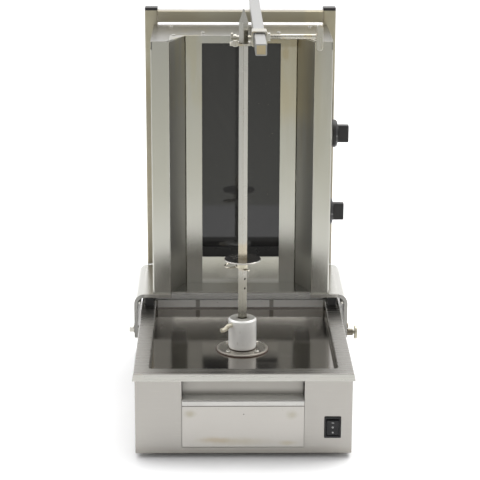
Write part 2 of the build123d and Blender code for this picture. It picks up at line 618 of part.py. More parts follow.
py = post_y0 + post_side / 2
parts["left_post"] = tube_z(-post_x, py, tz1, post_top, post_side, 1.5)
parts["right_post"] = tube_z(post_x, py, tz1, post_top, post_side, 1.5)
caps = []
for s in (-1, 1):
    c = Pos(s * post_x, py, post_top + cap_h / 2) * Box(post_side, post_side, cap_h)
    c = soften(c, c.edges().filter_by(Axis.Z), 2.0)
    c = soften(c, c.edges().filter_by(lambda e: e.center().Z > post_top + cap_h - 0.01), 1.2)
    c += Pos(s * post_x, py, post_top - 5) * Box(post_side - 3.0, post_side - 3.0, 10)
    caps.append(c)
ri = post_x - post_side / 2
rail = box(-ri, ri, post_y0 + 1, post_y0 + 21, rail_z0, rail_z1)
rail = soften(rail, rail.edges().filter_by(Axis.X), 2.0)
rail -= box(-ri - 1, ri + 1, post_y0 + 2.5, post_y0 + 19.5, rail_z0 + 1.5, rail_z1 - 1.5)
parts["rear_rail"] = rail

ay1 = post_y0 + 22
a0, a1 = arm_x - arm_side / 2, arm_x + arm_side / 2
arm = box(a0, a1, arm_y0, ay1, arm_z0, arm_z0 + arm_side)
arm = soften(arm, arm.edges().filter_by(Axis.Y), 2.2)
arm -= box(a0 + 1.5, a1 - 1.5, arm_y0 + 1.6, ay1 + 1, arm_z0 + 1.5, arm_z0 + arm_side - 1.5)
recess = box(a0 + 2.4, a1 - 2.4, arm_y0 - 1, arm_y0 + 0.8, arm_z0 + 2.4, arm_z0 + arm_side - 2.4)
arm -= soften(recess, recess.edges().filter_by(Axis.Y), 2.0)
parts["arm"] = arm
plug = box(a0 + 1.5, a1 - 1.5, ay1 - 8, ay1, arm_z0 + 1.5, arm_z0 + arm_side - 1.5)
pl2 = box(a0, a1, ay1, ay1 + 3, arm_z0, arm_z0 + arm_side)
pl2 = soften(pl2, pl2.edges().filter_by(Axis.Y), 2.0)
caps.append(plug + pl2)
parts["tube_caps"] = caps

# ---------------------------------------------------------------- spit holder
ss = sleeve_side / 2
sl = box(arm_x - ss, arm_x + ss, sleeve_y0, sleeve_y1, arm_cz - ss, arm_cz + ss)
sl = soften(sl, sl.edges().filter_by(Axis.Y), 2.6)
si = ss - sleeve_wall
sl_in = box(arm_x - si, arm_x + si, sleeve_y0 - 1, sleeve_y1 + 1, arm_cz - si, arm_cz + si)
sl_in = soften(sl_in, sl_in.edges().filter_by(Axis.Y), 1.2)
sl -= sl_in
sl -= cyl_x(arm_x + si - 1, arm_x + ss + 1, clamp_y, clamp_z, clamp_r + 0.05)
parts["sleeve"] = sl
sx0 = arm_x - ss
gz1 = guide_z1
gz0 = gz1 - guide_t
gp = prism([(-21.5, spit_y - 11), (sx0, spit_y - 11), (sx0, spit_y + 18), (-15.0, spit_y + 18),
            (-21.5, spit_y + 10)], "XY", gz0, gz1)
gp = soften(gp, gp.edges().filter_by(Axis.Z).filter_by(lambda e: e.center().X < 0), 3.0)
tab = box(-17.6, -8.6, spit_y - 15, spit_y - 9.5, gz1 - 4.0, gz1 + 6.2)
tab = soften(tab, tab.edges().filter_by(Axis.Y), 3.2)
tab = soften(tab, tab.edges().filter_by(lambda e: e.center().Y < spit_y - 14.9), 0.8)
gp += tab
gp -= cyl_z(0, spit_y, gz0 - 5, gz1 + 5, guide_hole_r)
lat_y, lat_z, lat_r = spit_y + 13.5, gz1 + 6.0, 3.2
lug = cyl_x(-15.5, -11.0, lat_y, lat_z, 5.2) + box(-15.5, -11.0, lat_y - 4.5, lat_y + 4.5, gz0, lat_z)
lug -= cyl_x(-21, -8, lat_y, lat_z, lat_r + 0.06)
gp += lug
parts["guide_plate"] = gp
latch = cyl_x(-18.0, sx0 - 0.6, lat_y, lat_z, lat_r)
lever = box(-19.6, -16.4, lat_y - 3.2, lat_y + 3.2, lat_z - 3.2, lat_z + 7.5)
lever = soften(lever, lever.edges().filter_by(Axis.X), 2.0)
parts["guide_latch"] = latch + lever
sx1 = arm_x + ss
nut = box(sx1, sx1 + 5.0, clamp_y - 6, clamp_y + 6, clamp_z - 6, clamp_z + 6)
nut = soften(nut, nut.edges().filter_by(Axis.X), 1.0)
parts["clamp_nut"] = nut - cyl_x(sx1 - 1, sx1 + 6, clamp_y, clamp_z, clamp_r + 0.05)
cs = cyl_x(a1 + 0.6, 60.0, clamp_y, clamp_z, clamp_r)
cs += cyl_x(58.0, 114.0, clamp_y, clamp_z, 4.1)
hb = box(113.3, 123.5, clamp_y - 3.5, clamp_y + 3.5, clamp_z - 21.5, clamp_z + 19)
hb = soften(hb, hb.edges().filter_by(Axis.Y), 4.6)
hb = soften(hb, hb.edges().filter_by(lambda e: abs(abs(e.center().Y - clamp_y) - 3.5) < 0.01), 0.9)
parts["clamp_screw"] = cs + hb

# ---------------------------------------------------------------- wiring fittings
cg = hexagon_x(-base_half_w - 6, -base_half_w, gland_y, gland_z, 22)
cg += cyl_x(-base_half_w - 17, -base_half_w - 6, gland_y, gland_z, 10.0)
cg = soften(cg, cg.edges().filter_by(lambda e: e.center().X < -base_half_w - 16.9), 3.0)
cg += cyl_x(-base_half_w, -base_half_w + sheet, gland_y, gland_z, 8.2)
cg += hexagon_x(-base_half_w + sheet, -base_half_w + sheet + 5, gland_y, gland_z, 22)
cg -= cyl_x(-base_half_w - 32, -base_half_w + 30, gland_y, gland_z, 4.2)
parts["cable_gland"] = cg
tb = box(-150, -110, 380, 440, bz0 + 1.2, bz0 + 24)
for i in range(5):
    tb -= cyl_z(-130, 388 + i * 11, bz0 + 12, bz0 + 30, 3.2)
parts["terminal_block"] = tb

# ---------------------------------------------------------------- export
os.makedirs("parts", exist_ok=True)
shift = Pos(0, -base_depth / 2, 0)
for name, shape in parts.items():
    if isinstance(shape, (list, tuple)):
        shape = Compound([s for piece in shape for s in piece.solids()])
    elif not isinstance(shape, (Compound, Solid, Part)):
        shape = Compound(shape.solids())
    export_step(shift * shape, "parts/" + name + ".step")
print(len(parts), "nodes")
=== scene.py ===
import bpy
import bmesh
import json
import math
import random
from mathutils import Matrix, Vector


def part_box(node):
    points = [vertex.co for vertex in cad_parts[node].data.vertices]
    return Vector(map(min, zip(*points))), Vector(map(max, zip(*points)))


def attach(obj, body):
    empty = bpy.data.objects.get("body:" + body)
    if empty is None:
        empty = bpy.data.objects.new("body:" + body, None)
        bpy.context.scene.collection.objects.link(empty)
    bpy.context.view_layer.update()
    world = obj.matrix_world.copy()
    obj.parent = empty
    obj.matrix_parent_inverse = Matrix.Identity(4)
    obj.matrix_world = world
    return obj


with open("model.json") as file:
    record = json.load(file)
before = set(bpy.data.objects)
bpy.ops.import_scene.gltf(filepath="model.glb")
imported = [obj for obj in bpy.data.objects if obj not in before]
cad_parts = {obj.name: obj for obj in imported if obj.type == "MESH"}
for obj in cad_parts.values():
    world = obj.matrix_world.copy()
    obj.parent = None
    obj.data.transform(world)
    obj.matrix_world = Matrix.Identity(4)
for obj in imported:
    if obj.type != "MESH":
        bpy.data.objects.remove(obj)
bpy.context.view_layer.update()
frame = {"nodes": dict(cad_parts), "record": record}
nodes = frame["nodes"]
scene = bpy.context.scene
scene.view_settings.view_transform = "Standard"
scene.view_settings.look = "None"

BASE_HALF_Y = 0.260          # fore-aft shift between the front face and the row origin
SPIT_Y = 0.159 - BASE_HALF_Y


# ------------------------------------------------------------------ shader helpers
def srgb(r, g, b):
    def lin(c):
        c /= 255.0
        return c / 12.92 if c <= 0.04045 else ((c + 0.055) / 1.055) ** 2.4
    return (lin(r), lin(g), lin(b), 1.0)


class Mat:
    """A Principled material with small helpers for wiring procedural patterns."""

    def __init__(self, name):
        self.m = bpy.data.materials.new(name)
        self.m.use_nodes = True
        self.t = self.m.node_tree
        self.t.nodes.clear()
        self.out = self.node("ShaderNodeOutputMaterial")
        self.p = self.node("ShaderNodeBsdfPrincipled")
        self.link(self.p.outputs["BSDF"], self.out.inputs["Surface"])
        self.tc = self.node("ShaderNodeTexCoord")
        self.obj = self.tc.outputs["Object"]
        self._xyz = None
        self._nrm = None
        self._bev = None
        self.heights = []

    def node(self, kind, **kw):
        n = self.t.nodes.new(kind)
        for k, v in kw.items():
            setattr(n, k, v)
        return n

    def link(self, a, b):
        self.t.links.new(a, b)

    def put(self, socket, value):
        if hasattr(value, "is_output"):
            self.link(value, socket)
        else:
            socket.default_value = value

    def math(self, op, a, b=0.0, c=None, clamp=False):
        n = self.node("ShaderNodeMath", operation=op, use_clamp=clamp)
        self.put(n.inputs[0], a)
        self.put(n.inputs[1], b)
        if c is not None:
            self.put(n.inputs[2], c)
        return n.outputs[0]

    def xyz(self):
        if self._xyz is None:
            n = self.node("ShaderNodeSeparateXYZ")
            self.link(self.obj, n.inputs[0])
            self._xyz = n.outputs
        return self._xyz

    def nrm(self):
        if self._nrm is None:
            n = self.node("ShaderNodeSeparateXYZ")
            self.link(self.tc.outputs["Normal"], n.inputs[0])
            self._nrm = n.outputs
        return self._nrm

    def scaled(self, s, offset=(0, 0, 0)):
        n = self.node("ShaderNodeMapping")
        self.link(self.obj, n.inputs["Vector"])
        n.inputs["Scale"].default_value = s
        n.inputs["Location"].default_value = offset
        return n.outputs[0]

    def noise(self, vec, scale=1.0, detail=3.0, rough=0.5, distortion=0.0):
        n = self.node("ShaderNodeTexNoise")
        self.put(n.inputs["Vector"], vec)
        n.inputs["Scale"].default_value = scale
        n.inputs["Detail"].default_value = detail
        n.inputs["Roughness"].default_value = rough
        n.inputs["Distortion"].default_value = distortion
        return n.outputs[0]

    def remap(self, v, a0, a1, b0=0.0, b1=1.0, smooth=True):
        n = self.node("ShaderNodeMapRange")
        if smooth:
            n.interpolation_type = "SMOOTHSTEP"
        self.put(n.inputs["Value"], v)
        n.inputs["From Min"].default_value = a0
        n.inputs["From Max"].default_value = a1
        n.inputs["To Min"].default_value = b0
        n.inputs["To Max"].default_value = b1
        return n.outputs["Result"]

    def mix(self, fac, a, b, blend="MIX"):
        n = self.node("ShaderNodeMix", data_type="RGBA", blend_type=blend)
        self.put(n.inputs[0], fac)
        self.put(n.inputs[6], a)
        self.put(n.inputs[7], b)
        return n.outputs[2]

    def fmix(self, fac, a, b):
        n = self.node("ShaderNodeMix", data_type="FLOAT")
        self.put(n.inputs[0], fac)
        self.put(n.inputs[2], a)
        self.put(n.inputs[3], b)
        return n.outputs[0]

    def band(self, v, lo, hi, soft):
        """1 between lo and hi, falling off over soft outside them."""
        a = self.remap(v, lo - soft, lo)
        b = self.remap(v, hi, hi + soft, 1.0, 0.0)
        return self.math("MULTIPLY", a, b)

    def spot(self, centre, radii, edge=0.5, warp=0.0, seed=0.0):
        """1 at the centre of an ellipsoid, 0 outside, with a soft and noisy edge."""
        x, y, z = self.xyz()
        parts = []
        for v, c, r in zip((x, y, z), centre, radii):
            d = self.math("MULTIPLY", self.math("SUBTRACT", v, c), 1.0 / r)
            parts.append(self.math("MULTIPLY", d, d))
        s = self.math("ADD", self.math("ADD", parts[0], parts[1]), parts[2])
        s = self.math("SQRT", s)
        if warp:
            n = self.noise(self.scaled((60, 60, 60), (seed, seed, seed)), 1.0, 3.0)
            s = self.math("ADD", s, self.math("MULTIPLY", self.math("SUBTRACT", n, 0.5), warp))
        return self.remap(s, 1.0 - edge, 1.0, 1.0, 0.0)

    def bump(self, height, distance, strength=1.0):
        self.heights.append((height, distance, strength))

    def finish(self, bevel=0.0, samples=4):
        normal = None
        if bevel:
            n = self.node("ShaderNodeBevel", samples=samples)
            n.inputs["Radius"].default_value = bevel
            normal = n.outputs[0]
        for height, distance, strength in self.heights:
            b = self.node("ShaderNodeBump")
            b.inputs["Strength"].default_value = strength
            b.inputs["Distance"].default_value = distance
            self.link(height, b.inputs["Height"])
            if normal is not None:
                self.link(normal, b.inputs["Normal"])
            normal = b.outputs[0]
        if normal is not None:
            self.link(normal, self.p.inputs["Normal"])
        return self.m

    def set(self, name, value):
        self.put(self.p.inputs[name], value)


def grain(M, mode, fine=1.0):
    """A streaky value about 0.5: the direction follows the face, as each sheet was brushed."""
    def along(d, seed):
        w, l = 620.0 * fine, 9.0
        s = {"x": (l, w, w), "y": (w, l, w), "z": (w, w, l)}[d]
        a = M.noise(M.scaled(s, (seed, seed * 2, seed * 3)), 1.0, 2.0, 0.6)
        w2, l2 = 150.0 * fine, 3.0
        s2 = {"x": (l2, w2, w2), "y": (w2, l2, w2), "z": (w2, w2, l2)}[d]
        b = M.noise(M.scaled(s2, (seed + 7, seed, seed)), 1.0, 2.0, 0.5)
        return M.math("ADD", M.math("MULTIPLY", a, 0.6), M.math("MULTIPLY", b, 0.4))
    if mode in ("x", "y", "z"):
        return along(mode, 1.3)
    nx, ny, nz = M.nrm()
    if mode == "tower":          # upright faces along Z, flat ones along X
        top = M.remap(M.math("ABSOLUTE", nz), 0.5, 0.8)
        return M.fmix(top, along("z", 1.3), along("x", 4.1))
    if mode == "base":           # side faces along Y, the rest along X
        side = M.remap(M.math("ABSOLUTE", nx), 0.5, 0.8)
        return M.fmix(side, along("x", 2.3), along("y", 5.1))
    return along("z", 1.0)


def turned(M, cx, cy, cz, axis, pitch=1500.0):
    """Fine rings about an axis, as on a lathe-turned piece: value about 0.5."""
    x, y, z = M.xyz()
    pairs = {"z": ((x, cx), (y, cy), z), "x": ((y, cy), (z, cz), x), "y": ((x, cx), (z, cz), y)}[axis]
    u = M.math("SUBTRACT", pairs[0][0], pairs[0][1])
    v = M.math("SUBTRACT", pairs[1][0], pairs[1][1])
    r = M.math("SQRT", M.math("ADD", M.math("MULTIPLY", u, u), M.math("MULTIPLY", v, v)))
    c = M.node("ShaderNodeCombineXYZ")
    M.link(M.math("MULTIPLY", r, pitch), c.inputs[0])
    M.link(M.math("MULTIPLY", pairs[2], pitch), c.inputs[1])
    c.inputs[2].default_value = 0.7
    return M.noise(c.outputs[0], 1.0, 2.0, 0.6)


def steel(name, color, rough=0.28, mode="tower", contrast=0.10, rvar=0.10, bumpd=0.00002,
          cloud=0.08, tints=(), bevel=0.0006, fine=1.0, smudge=0.05, aniso=0.0):
    """Brushed or polished sheet: streaks in colour, roughness and height, soft clouding, wiped smudges and tints
    (stains, and in places painted light and shade).
    """
    M = Mat(name)
    g = grain(M, mode, fine)
    gd = M.math("SUBTRACT", g, 0.5)
    cloudn = M.noise(M.scaled((7, 7, 5), (3.1, 0.2, 1.7)), 1.0, 3.0, 0.55, 0.4)
    bright = M.math("ADD", 1.0, M.math("MULTIPLY", gd, contrast * 2))
    bright = M.math("ADD", bright, M.math("MULTIPLY", M.math("SUBTRACT", cloudn, 0.5), cloud * 2))
    base = M.node("ShaderNodeCombineXYZ")
    for i in range(3):
        M.link(M.math("MULTIPLY", bright, color[i]), base.inputs[i])
    col = base.outputs[0]
    r = M.math("ADD", rough, M.math("MULTIPLY", gd, rvar * 2))
    sm = M.noise(M.scaled((22, 22, 16), (9.0, 4.0, 2.0)), 1.0, 4.0, 0.6, 1.2)
    r = M.math("ADD", r, M.math("MULTIPLY", M.remap(sm, 0.52, 0.72), smudge))
    for t in tints:
        mask, tint, amount = t[0](M), t[1], t[2]
        fac = M.math("MULTIPLY", mask, amount, clamp=True)
        col = M.mix(fac, col, tint, t[3] if len(t) > 3 else "MIX")
        if len(t) > 4:
            r = M.math("ADD", r, M.math("MULTIPLY", mask, t[4]))
    M.set("Base Color", col)
    M.set("Metallic", 1.0)
    M.link(M.math("ADD", r, 0.0, clamp=True), M.p.inputs["Roughness"])
    if aniso:
        M.p.inputs["Anisotropic"].default_value = aniso
    if bumpd:
        M.bump(g, bumpd, 0.6)
    return M.finish(bevel)


def plain(name, color, rough=0.5, metallic=0.0, bumps=((900, 0.00003),), cvar=0.12, rvar=0.08,
          bevel=0.0006, dust=None, extra=None, ior=1.45):
    """Moulded, painted or cast surface: speckle, soft wear and grain."""
    M = Mat(name)
    n1 = M.noise(M.scaled((40, 40, 40), (1.0, 2.0, 3.0)), 1.0, 4.0, 0.6)
    bright = M.math("ADD", 1.0, M.math("MULTIPLY", M.math("SUBTRACT", n1, 0.5), cvar * 2))
    base = M.node("ShaderNodeCombineXYZ")
    for i in range(3):
        M.link(M.math("MULTIPLY", bright, color[i]), base.inputs[i])
    col = base.outputs[0]
    n2 = M.noise(M.scaled((120, 120, 120), (5.0, 1.0, 8.0)), 1.0, 3.0, 0.55)
    r = M.math("ADD", rough, M.math("MULTIPLY", M.math("SUBTRACT", n2, 0.5), rvar * 2), clamp=True)
    if dust:
        nz = M.nrm()[2]
        up = M.remap(nz, 0.2, 1.0)
        fac = M.math("MULTIPLY", up, M.math("MULTIPLY", M.remap(n2, 0.3, 0.7), dust[1]))
        col = M.mix(fac, col, dust[0])
    if extra:
        col = extra(M, col)
    M.set("Base Color", col)
    M.set("Metallic", metallic)
    M.p.inputs["IOR"].default_value = ior
    M.link(r, M.p.inputs["Roughness"])
    for s, d in bumps:
        M.bump(M.noise(M.scaled((s, s, s)), 1.0, 2.0, 0.6), d, 0.7)
    return M.finish(bevel)


# ------------------------------------------------------------------ materials
LIGHT = srgb(206, 203, 194)
STAIN = srgb(176, 150, 104)
TAN = srgb(196, 178, 134)
BROWN = srgb(120, 92, 60)
DARK = srgb(70, 64, 58)


def speck(scale, lo, hi, seed=0.0, stretch=(1, 1, 1)):
    def f(M):
        s = tuple(scale * v for v in stretch)
        return M.remap(M.noise(M.scaled(s, (seed, seed * 1.7, seed * 0.3)), 1.0, 2.0, 0.5), lo, hi)
    return f


def times(a, b):
    return lambda M: M.math("MULTIPLY", a(M), b(M))


def zband(lo, hi, soft, warp=0.0, seed=0.0):
    def f(M):
        z = M.xyz()[2]
        if warp:
            n = M.noise(M.scaled((30, 30, 30), (seed, seed, seed)), 1.0, 3.0, 0.55)
            z = M.math("ADD", z, M.math("MULTIPLY", M.math("SUBTRACT", n, 0.5), warp))
        return M.band(z, lo, hi, soft)
    return f


def box_mask(x, y, z, soft=0.004):
    def f(M):
        s = M.xyz()
        m = None
        for v, r in zip(s, (x, y, z)):
            if r is None:
                continue
            b = M.band(v, r[0], r[1], soft)
            m = b if m is None else M.math("MULTIPLY", m, b)
        return m
    return f


def spot(c, r, edge=0.6, warp=0.5, seed=0.0):
    return lambda M: M.spot(c, r, edge, warp, seed)


def scratches(seed, amount=0.64, mode="x"):
    """Sparse thin scratches, brighter than the sheet."""
    def f(M):
        s = {"x": (26, 900, 900), "y": (900, 26, 900), "z": (900, 900, 20), "d": (300, 300, 300)}[mode]
        n = M.noise(M.scaled(s, (seed, seed * 2.1, seed * 0.7)), 1.0, 1.0, 0.4, 0.3)
        gate = M.remap(M.noise(M.scaled((14, 14, 14), (seed, 3, 5)), 1.0, 2.0), 0.5, 0.62)
        return M.math("MULTIPLY", M.remap(n, amount, amount + 0.05), gate)
    return f


mats = {}
mats["stainless_sheet"] = steel(
    "stainless_sheet", (0.388, 0.373, 0.347), 0.34, "base", 0.025, 0.04, cloud=0.02,
    tints=[(scratches(2.0), srgb(200, 197, 190), 0.10),
           (zband(0.008, 0.012, 0.010, 0.006), srgb(140, 134, 122), 0.25)])
mats["drawer_sheet"] = steel(
    "drawer_sheet", (0.462, 0.445, 0.416), 0.36, "base", 0.025, 0.04, cloud=0.03,
    # painted shadow: a thin dark line under the hem's lower edge
    tints=[(times(zband(0.0868, 0.0882, 0.0004), box_mask(None, (-0.2640, -0.2590), None)), (0.10, 0.095, 0.085, 1), 0.85),
           # painted highlight: the hem is slightly lighter than the drawer front
           (times(zband(0.0890, 0.0962, 0.0006), box_mask(None, (-0.2660, -0.2632), None)), (0.52, 0.515, 0.495, 1), 0.8),
           # painted shade: the recess wall darkens towards its bottom
           (times(lambda M: M.remap(M.xyz()[2], 0.1090, 0.0980), box_mask(None, (-0.2400, -0.2300), None)), (0.14, 0.135, 0.12, 1), 0.75),
           # painted highlight: the top of the shelf is lightened, and made rougher
           (times(lambda M: M.remap(M.nrm()[2], 0.7, 0.95), box_mask(None, (-0.2630, -0.2380), (0.0955, 0.0975), 0.0005)),
            (1.0, 0.985, 0.94, 1), 1.0, "MIX", 0.45),
           (spot((-0.083, -0.2625, 0.0745), (0.012, 0.01, 0.009), 0.95, 0.7, 3.0), srgb(146, 138, 108), 0.42),
           (spot((0.075, -0.2625, 0.0735), (0.013, 0.01, 0.010), 0.9, 0.7, 5.0), srgb(146, 138, 112), 0.38),
           (spot((-0.045, -0.2625, 0.031), (0.040, 0.01, 0.0075), 0.9, 0.9, 7.0), srgb(160, 140, 106), 0.36),
           (spot((-0.010, -0.2625, 0.029), (0.075, 0.01, 0.010), 0.95, 0.9, 8.0), srgb(158, 148, 120), 0.35),
           (spot((0.070, -0.2625, 0.026), (0.020, 0.01, 0.006), 0.9, 0.9, 9.0), srgb(158, 146, 116), 0.40),
           (spot((0.0, -0.2625, 0.074), (0.0016, 0.01, 0.0014), 0.6, 0.3, 1.0), srgb(90, 84, 76), 0.7),
           (times(speck(420, 0.70, 0.76, 2.0), box_mask(None, (-0.28, -0.25), (0.08, 0.098))), srgb(120, 104, 80), 0.5),
           (scratches(4.0, 0.66), srgb(200, 197, 190), 0.10)])
# deck: brushed rim and a polished tray, dulled by fat
tray_box = box_mask((-0.1466, 0.1466), (-0.2356, 0.1086), (0.10, 0.1375), 0.0012)


def deck_material():
    M = Mat("deck_sheet")
    tray = tray_box(M)
    gx = grain(M, "base")
    gd = M.math("SUBTRACT", gx, 0.5)
    streak = M.noise(M.scaled((5, 22, 22), (2.0, 0.0, 1.0)), 1.0, 2.0, 0.5, 0.6)
    cloudn = M.noise(M.scaled((9, 9, 9), (3.1, 0.2, 1.7)), 1.0, 4.0, 0.55, 0.6)
    rim_b = M.math("ADD", 1.0, M.math("ADD", M.math("MULTIPLY", gd, 0.12),
                                      M.math("MULTIPLY", M.math("SUBTRACT", cloudn, 0.5), 0.10)))
    tray_b = M.math("ADD", 1.0, M.math("ADD", M.math("MULTIPLY", M.math("SUBTRACT", streak, 0.5), 0.20),
                                       M.math("MULTIPLY", M.math("SUBTRACT", cloudn, 0.5), 0.18)))
    a = M.node("ShaderNodeCombineXYZ")
    b = M.node("ShaderNodeCombineXYZ")
    for i, (c, d) in enumerate(zip((0.325, 0.312, 0.290), (0.335, 0.315, 0.292))):
        M.link(M.math("MULTIPLY", rim_b, c), a.inputs[i])
        M.link(M.math("MULTIPLY", tray_b, d), b.inputs[i])
    col = M.mix(tray, a.outputs[0], b.outputs[0])
    fine = M.remap(M.noise(M.scaled((700, 700, 700)), 1.0, 1.0), 0.68, 0.74)
    col = M.mix(M.math("MULTIPLY", fine, 0.25), col, srgb(196, 190, 178))
    for c, r, tint, k, seed in (
            ((-0.163, -0.2622, 0.1345), (0.013, 0.01, 0.006), srgb(186, 160, 116), 0.5, 2.0),
            ((0.130, -0.2622, 0.1325), (0.050, 0.01, 0.005), srgb(196, 178, 140), 0.4, 3.0),
            ((-0.100, -0.2622, 0.131), (0.05, 0.01, 0.003), srgb(196, 184, 152), 0.4, 4.0)):
        col = M.mix(M.math("MULTIPLY", M.spot(c, r, 0.9, 0.8, seed), k), col, tint)
    lx, ly, lz = M.xyz()
    # painted highlight: the front face of the lip is lightened
    lip = M.math("MULTIPLY", M.remap(lz, 0.1388, 0.1394, 1.0, 0.0), M.remap(ly, -0.2600, -0.2590, 1.0, 0.0))
    col = M.mix(M.math("MULTIPLY", lip, 0.9), col, (0.76, 0.75, 0.71, 1))
    # painted shade: the deck behind the tray, under the tower, is darkened
    ledge = M.math("MULTIPLY", M.remap(ly, 0.1070, 0.1115), M.remap(lz, 0.1378, 0.1390))
    col = M.mix(M.math("MULTIPLY", ledge, 0.85), col, (0.085, 0.080, 0.072, 1))
    # the rear wall of the tray is painted light, a painted highlight, with two narrow darker strips across it
    x, y, z = M.xyz()
    wall = M.math("MULTIPLY", M.remap(y, 0.1072, 0.1084), M.band(z, 0.1268, 0.1390, 0.0006))
    col = M.mix(wall, col, (0.95, 0.94, 0.91, 1))
    wall_dark_strips = M.math("ADD", M.band(x, -0.0775, -0.0719, 0.0015), M.band(x, 0.0515, 0.0571, 0.0015), clamp=True)
    col = M.mix(M.math("MULTIPLY", M.math("MULTIPLY", wall_dark_strips, wall), 0.8), col, srgb(92, 86, 78))
    # painted shade: a dark band along the foot of the rear wall
    foot = M.math("MULTIPLY", M.remap(y, 0.1050, 0.1080), M.remap(z, 0.1262, 0.1270, 1.0, 0.0))
    col = M.mix(M.math("MULTIPLY", foot, 0.8), col, (0.07, 0.065, 0.06, 1))
    # painted reflection: the rear part of the tray is lightened
    back = M.math("MULTIPLY", M.band(y, -0.02, 0.105, 0.05), tray)
    col = M.mix(M.math("MULTIPLY", back, 0.45), col, (0.56, 0.53, 0.49, 1))
    # a film of fat round the hub and dark burnt specks in the tray corners
    film = M.spot((0.0, SPIT_Y, 0.1240), (0.075, 0.075, 0.02), 0.8, 0.5, 6.0)
    col = M.mix(M.math("MULTIPLY", M.math("MULTIPLY", film, tray), 0.22), col, srgb(120, 104, 84))
    sp = M.remap(M.noise(M.scaled((260, 260, 260), (4, 4, 4)), 1.0, 2.0), 0.72, 0.78)
    col = M.mix(M.math("MULTIPLY", M.math("MULTIPLY", sp, tray), 0.6), col, srgb(70, 58, 46))
    r_rim = M.math("ADD", 0.28, M.math("MULTIPLY", gd, 0.12))
    r_tray = M.math("ADD", 0.110, M.math("MULTIPLY", M.remap(streak, 0.5, 0.75), 0.07))
    r_tray = M.math("ADD", r_tray, M.math("MULTIPLY", film, 0.06))
    M.set("Base Color", col)
    M.set("Metallic", M.math("SUBTRACT", M.fmix(tray, 0.95, 1.0), M.math("MULTIPLY", wall, 0.85)))
    r_all = M.fmix(tray, r_rim, r_tray)
    M.link(M.fmix(wall, r_all, 0.55), M.p.inputs["Roughness"])
    M.bump(M.math("MULTIPLY", gx, M.math("SUBTRACT", 1.0, tray)), 0.00002, 0.6)
    wav = M.noise(M.scaled((9, 6, 9), (1, 5, 2)), 1.0, 1.0)
    M.bump(M.math("MULTIPLY", wav, tray), 0.0006, 0.5)
    return M.finish(0.0007)


mats["deck_sheet"] = deck_material()

# painted shade: the slanted faces at the sides of the tower are darker and rougher than the rest of the sheet
slant_shade_mask = times(lambda M: M.band(M.math("ABSOLUTE", M.xyz()[0]), 0.0955, 0.1200, 0.0006),
              lambda M: M.band(M.xyz()[1], 0.0605, 0.1165, 0.0008))
right_tint = times(box_mask((0.066, 0.0965), None, (0.48, 0.62), 0.06), speck(1.0, 0.35, 0.65, 3.0, (60, 60, 9)))
right_tint_all = box_mask((0.064, 0.0965), None, (0.49, 0.62), 0.05)
mats["tower_sheet"] = steel(
    "tower_sheet", (0.460, 0.455, 0.415), 0.19, "tower", 0.02, 0.02, cloud=0.02, bumpd=0.000002, smudge=0.01,
    tints=[(slant_shade_mask, (0.31, 0.305, 0.285, 1), 0.75, "MIX", 0.26),
           # painted shade: the upward faces of the tower floor are darkened
           (times(box_mask(None, None, (0.16, 0.1700), 0.0003), lambda M: M.remap(M.nrm()[2], 0.5, 0.9)), (0.17, 0.165, 0.15, 1), 0.85),
           (box_mask(None, None, (0.6042, 0.62), 0.0002), (0.30, 0.293, 0.272, 1), 0.8, "MIX", 0.06),
           (box_mask((0.030, 0.0965), (0.10, 0.1185), (0.588, 0.604), 0.006), srgb(120, 114, 99), 0.75),
           (zband(0.171, 0.222, 0.015), (0.52, 0.51, 0.47, 1), 0.30),
           # painted highlight: the plate under the glass is lightened
           (box_mask((-0.0668, 0.0668), (0.1130, 0.1178), (0.169, 0.2159), 0.0003), (0.64, 0.63, 0.58, 1), 0.8),
           (right_tint_all, srgb(184, 176, 148), 0.45),
           (right_tint, srgb(180, 160, 118), 0.16),
           (spot((0.076, 0.118, 0.575), (0.010, 0.02, 0.018), 0.7, 0.9, 4.0), srgb(168, 152, 116), 0.5),
           (times(box_mask((-0.0965, -0.066), None, (0.50, 0.62), 0.04), speck(1.0, 0.4, 0.7, 6.0, (70, 70, 9))),
            srgb(176, 168, 132), 0.35),
           (times(box_mask((0.096, 0.121), None, (0.40, 0.60), 0.05), speck(1.0, 0.3, 0.7, 8.0, (60, 60, 7))),
            srgb(146, 138, 112), 0.22),
           (scratches(6.0, 0.67, "z"), srgb(214, 211, 202), 0.10)])
mats["bracket_plate"] = steel(
    "bracket_plate", (0.66, 0.65, 0.61), 0.24, "y", 0.05, 0.06, cloud=0.05,
    # painted shade: the faces that look sideways are darker
    tints=[(lambda M: M.remap(M.math("ABSOLUTE", M.nrm()[0]), 0.955, 0.99), (0.36, 0.352, 0.33, 1), 0.9),
           # painted light and shade: front faces lighter inboard of |x| 0.166 and darker outboard of it
           (times(lambda M: M.remap(M.math("MULTIPLY", M.nrm()[1], -1.0), 0.90, 0.97),
                  lambda M: M.remap(M.math("ABSOLUTE", M.xyz()[0]), 0.1640, 0.1680, 1.0, 0.0)), (0.46, 0.45, 0.42, 1), 0.95),
           (times(lambda M: M.remap(M.math("MULTIPLY", M.nrm()[1], -1.0), 0.90, 0.97),
                  lambda M: M.remap(M.math("ABSOLUTE", M.xyz()[0]), 0.1640, 0.1680)), (0.25, 0.245, 0.23, 1), 0.95),
           # painted highlight: the front part of the top faces is lightened
           (times(lambda M: M.remap(M.nrm()[2], 0.955, 0.99), box_mask(None, (0.0, 0.0580), None, 0.0008)), (0.62, 0.60, 0.55, 1), 0.9),
           (scratches(8.0, 0.64, "y"), srgb(240, 238, 230), 0.3),
           (speck(160, 0.66, 0.76, 5.0), srgb(150, 140, 120), 0.35)])
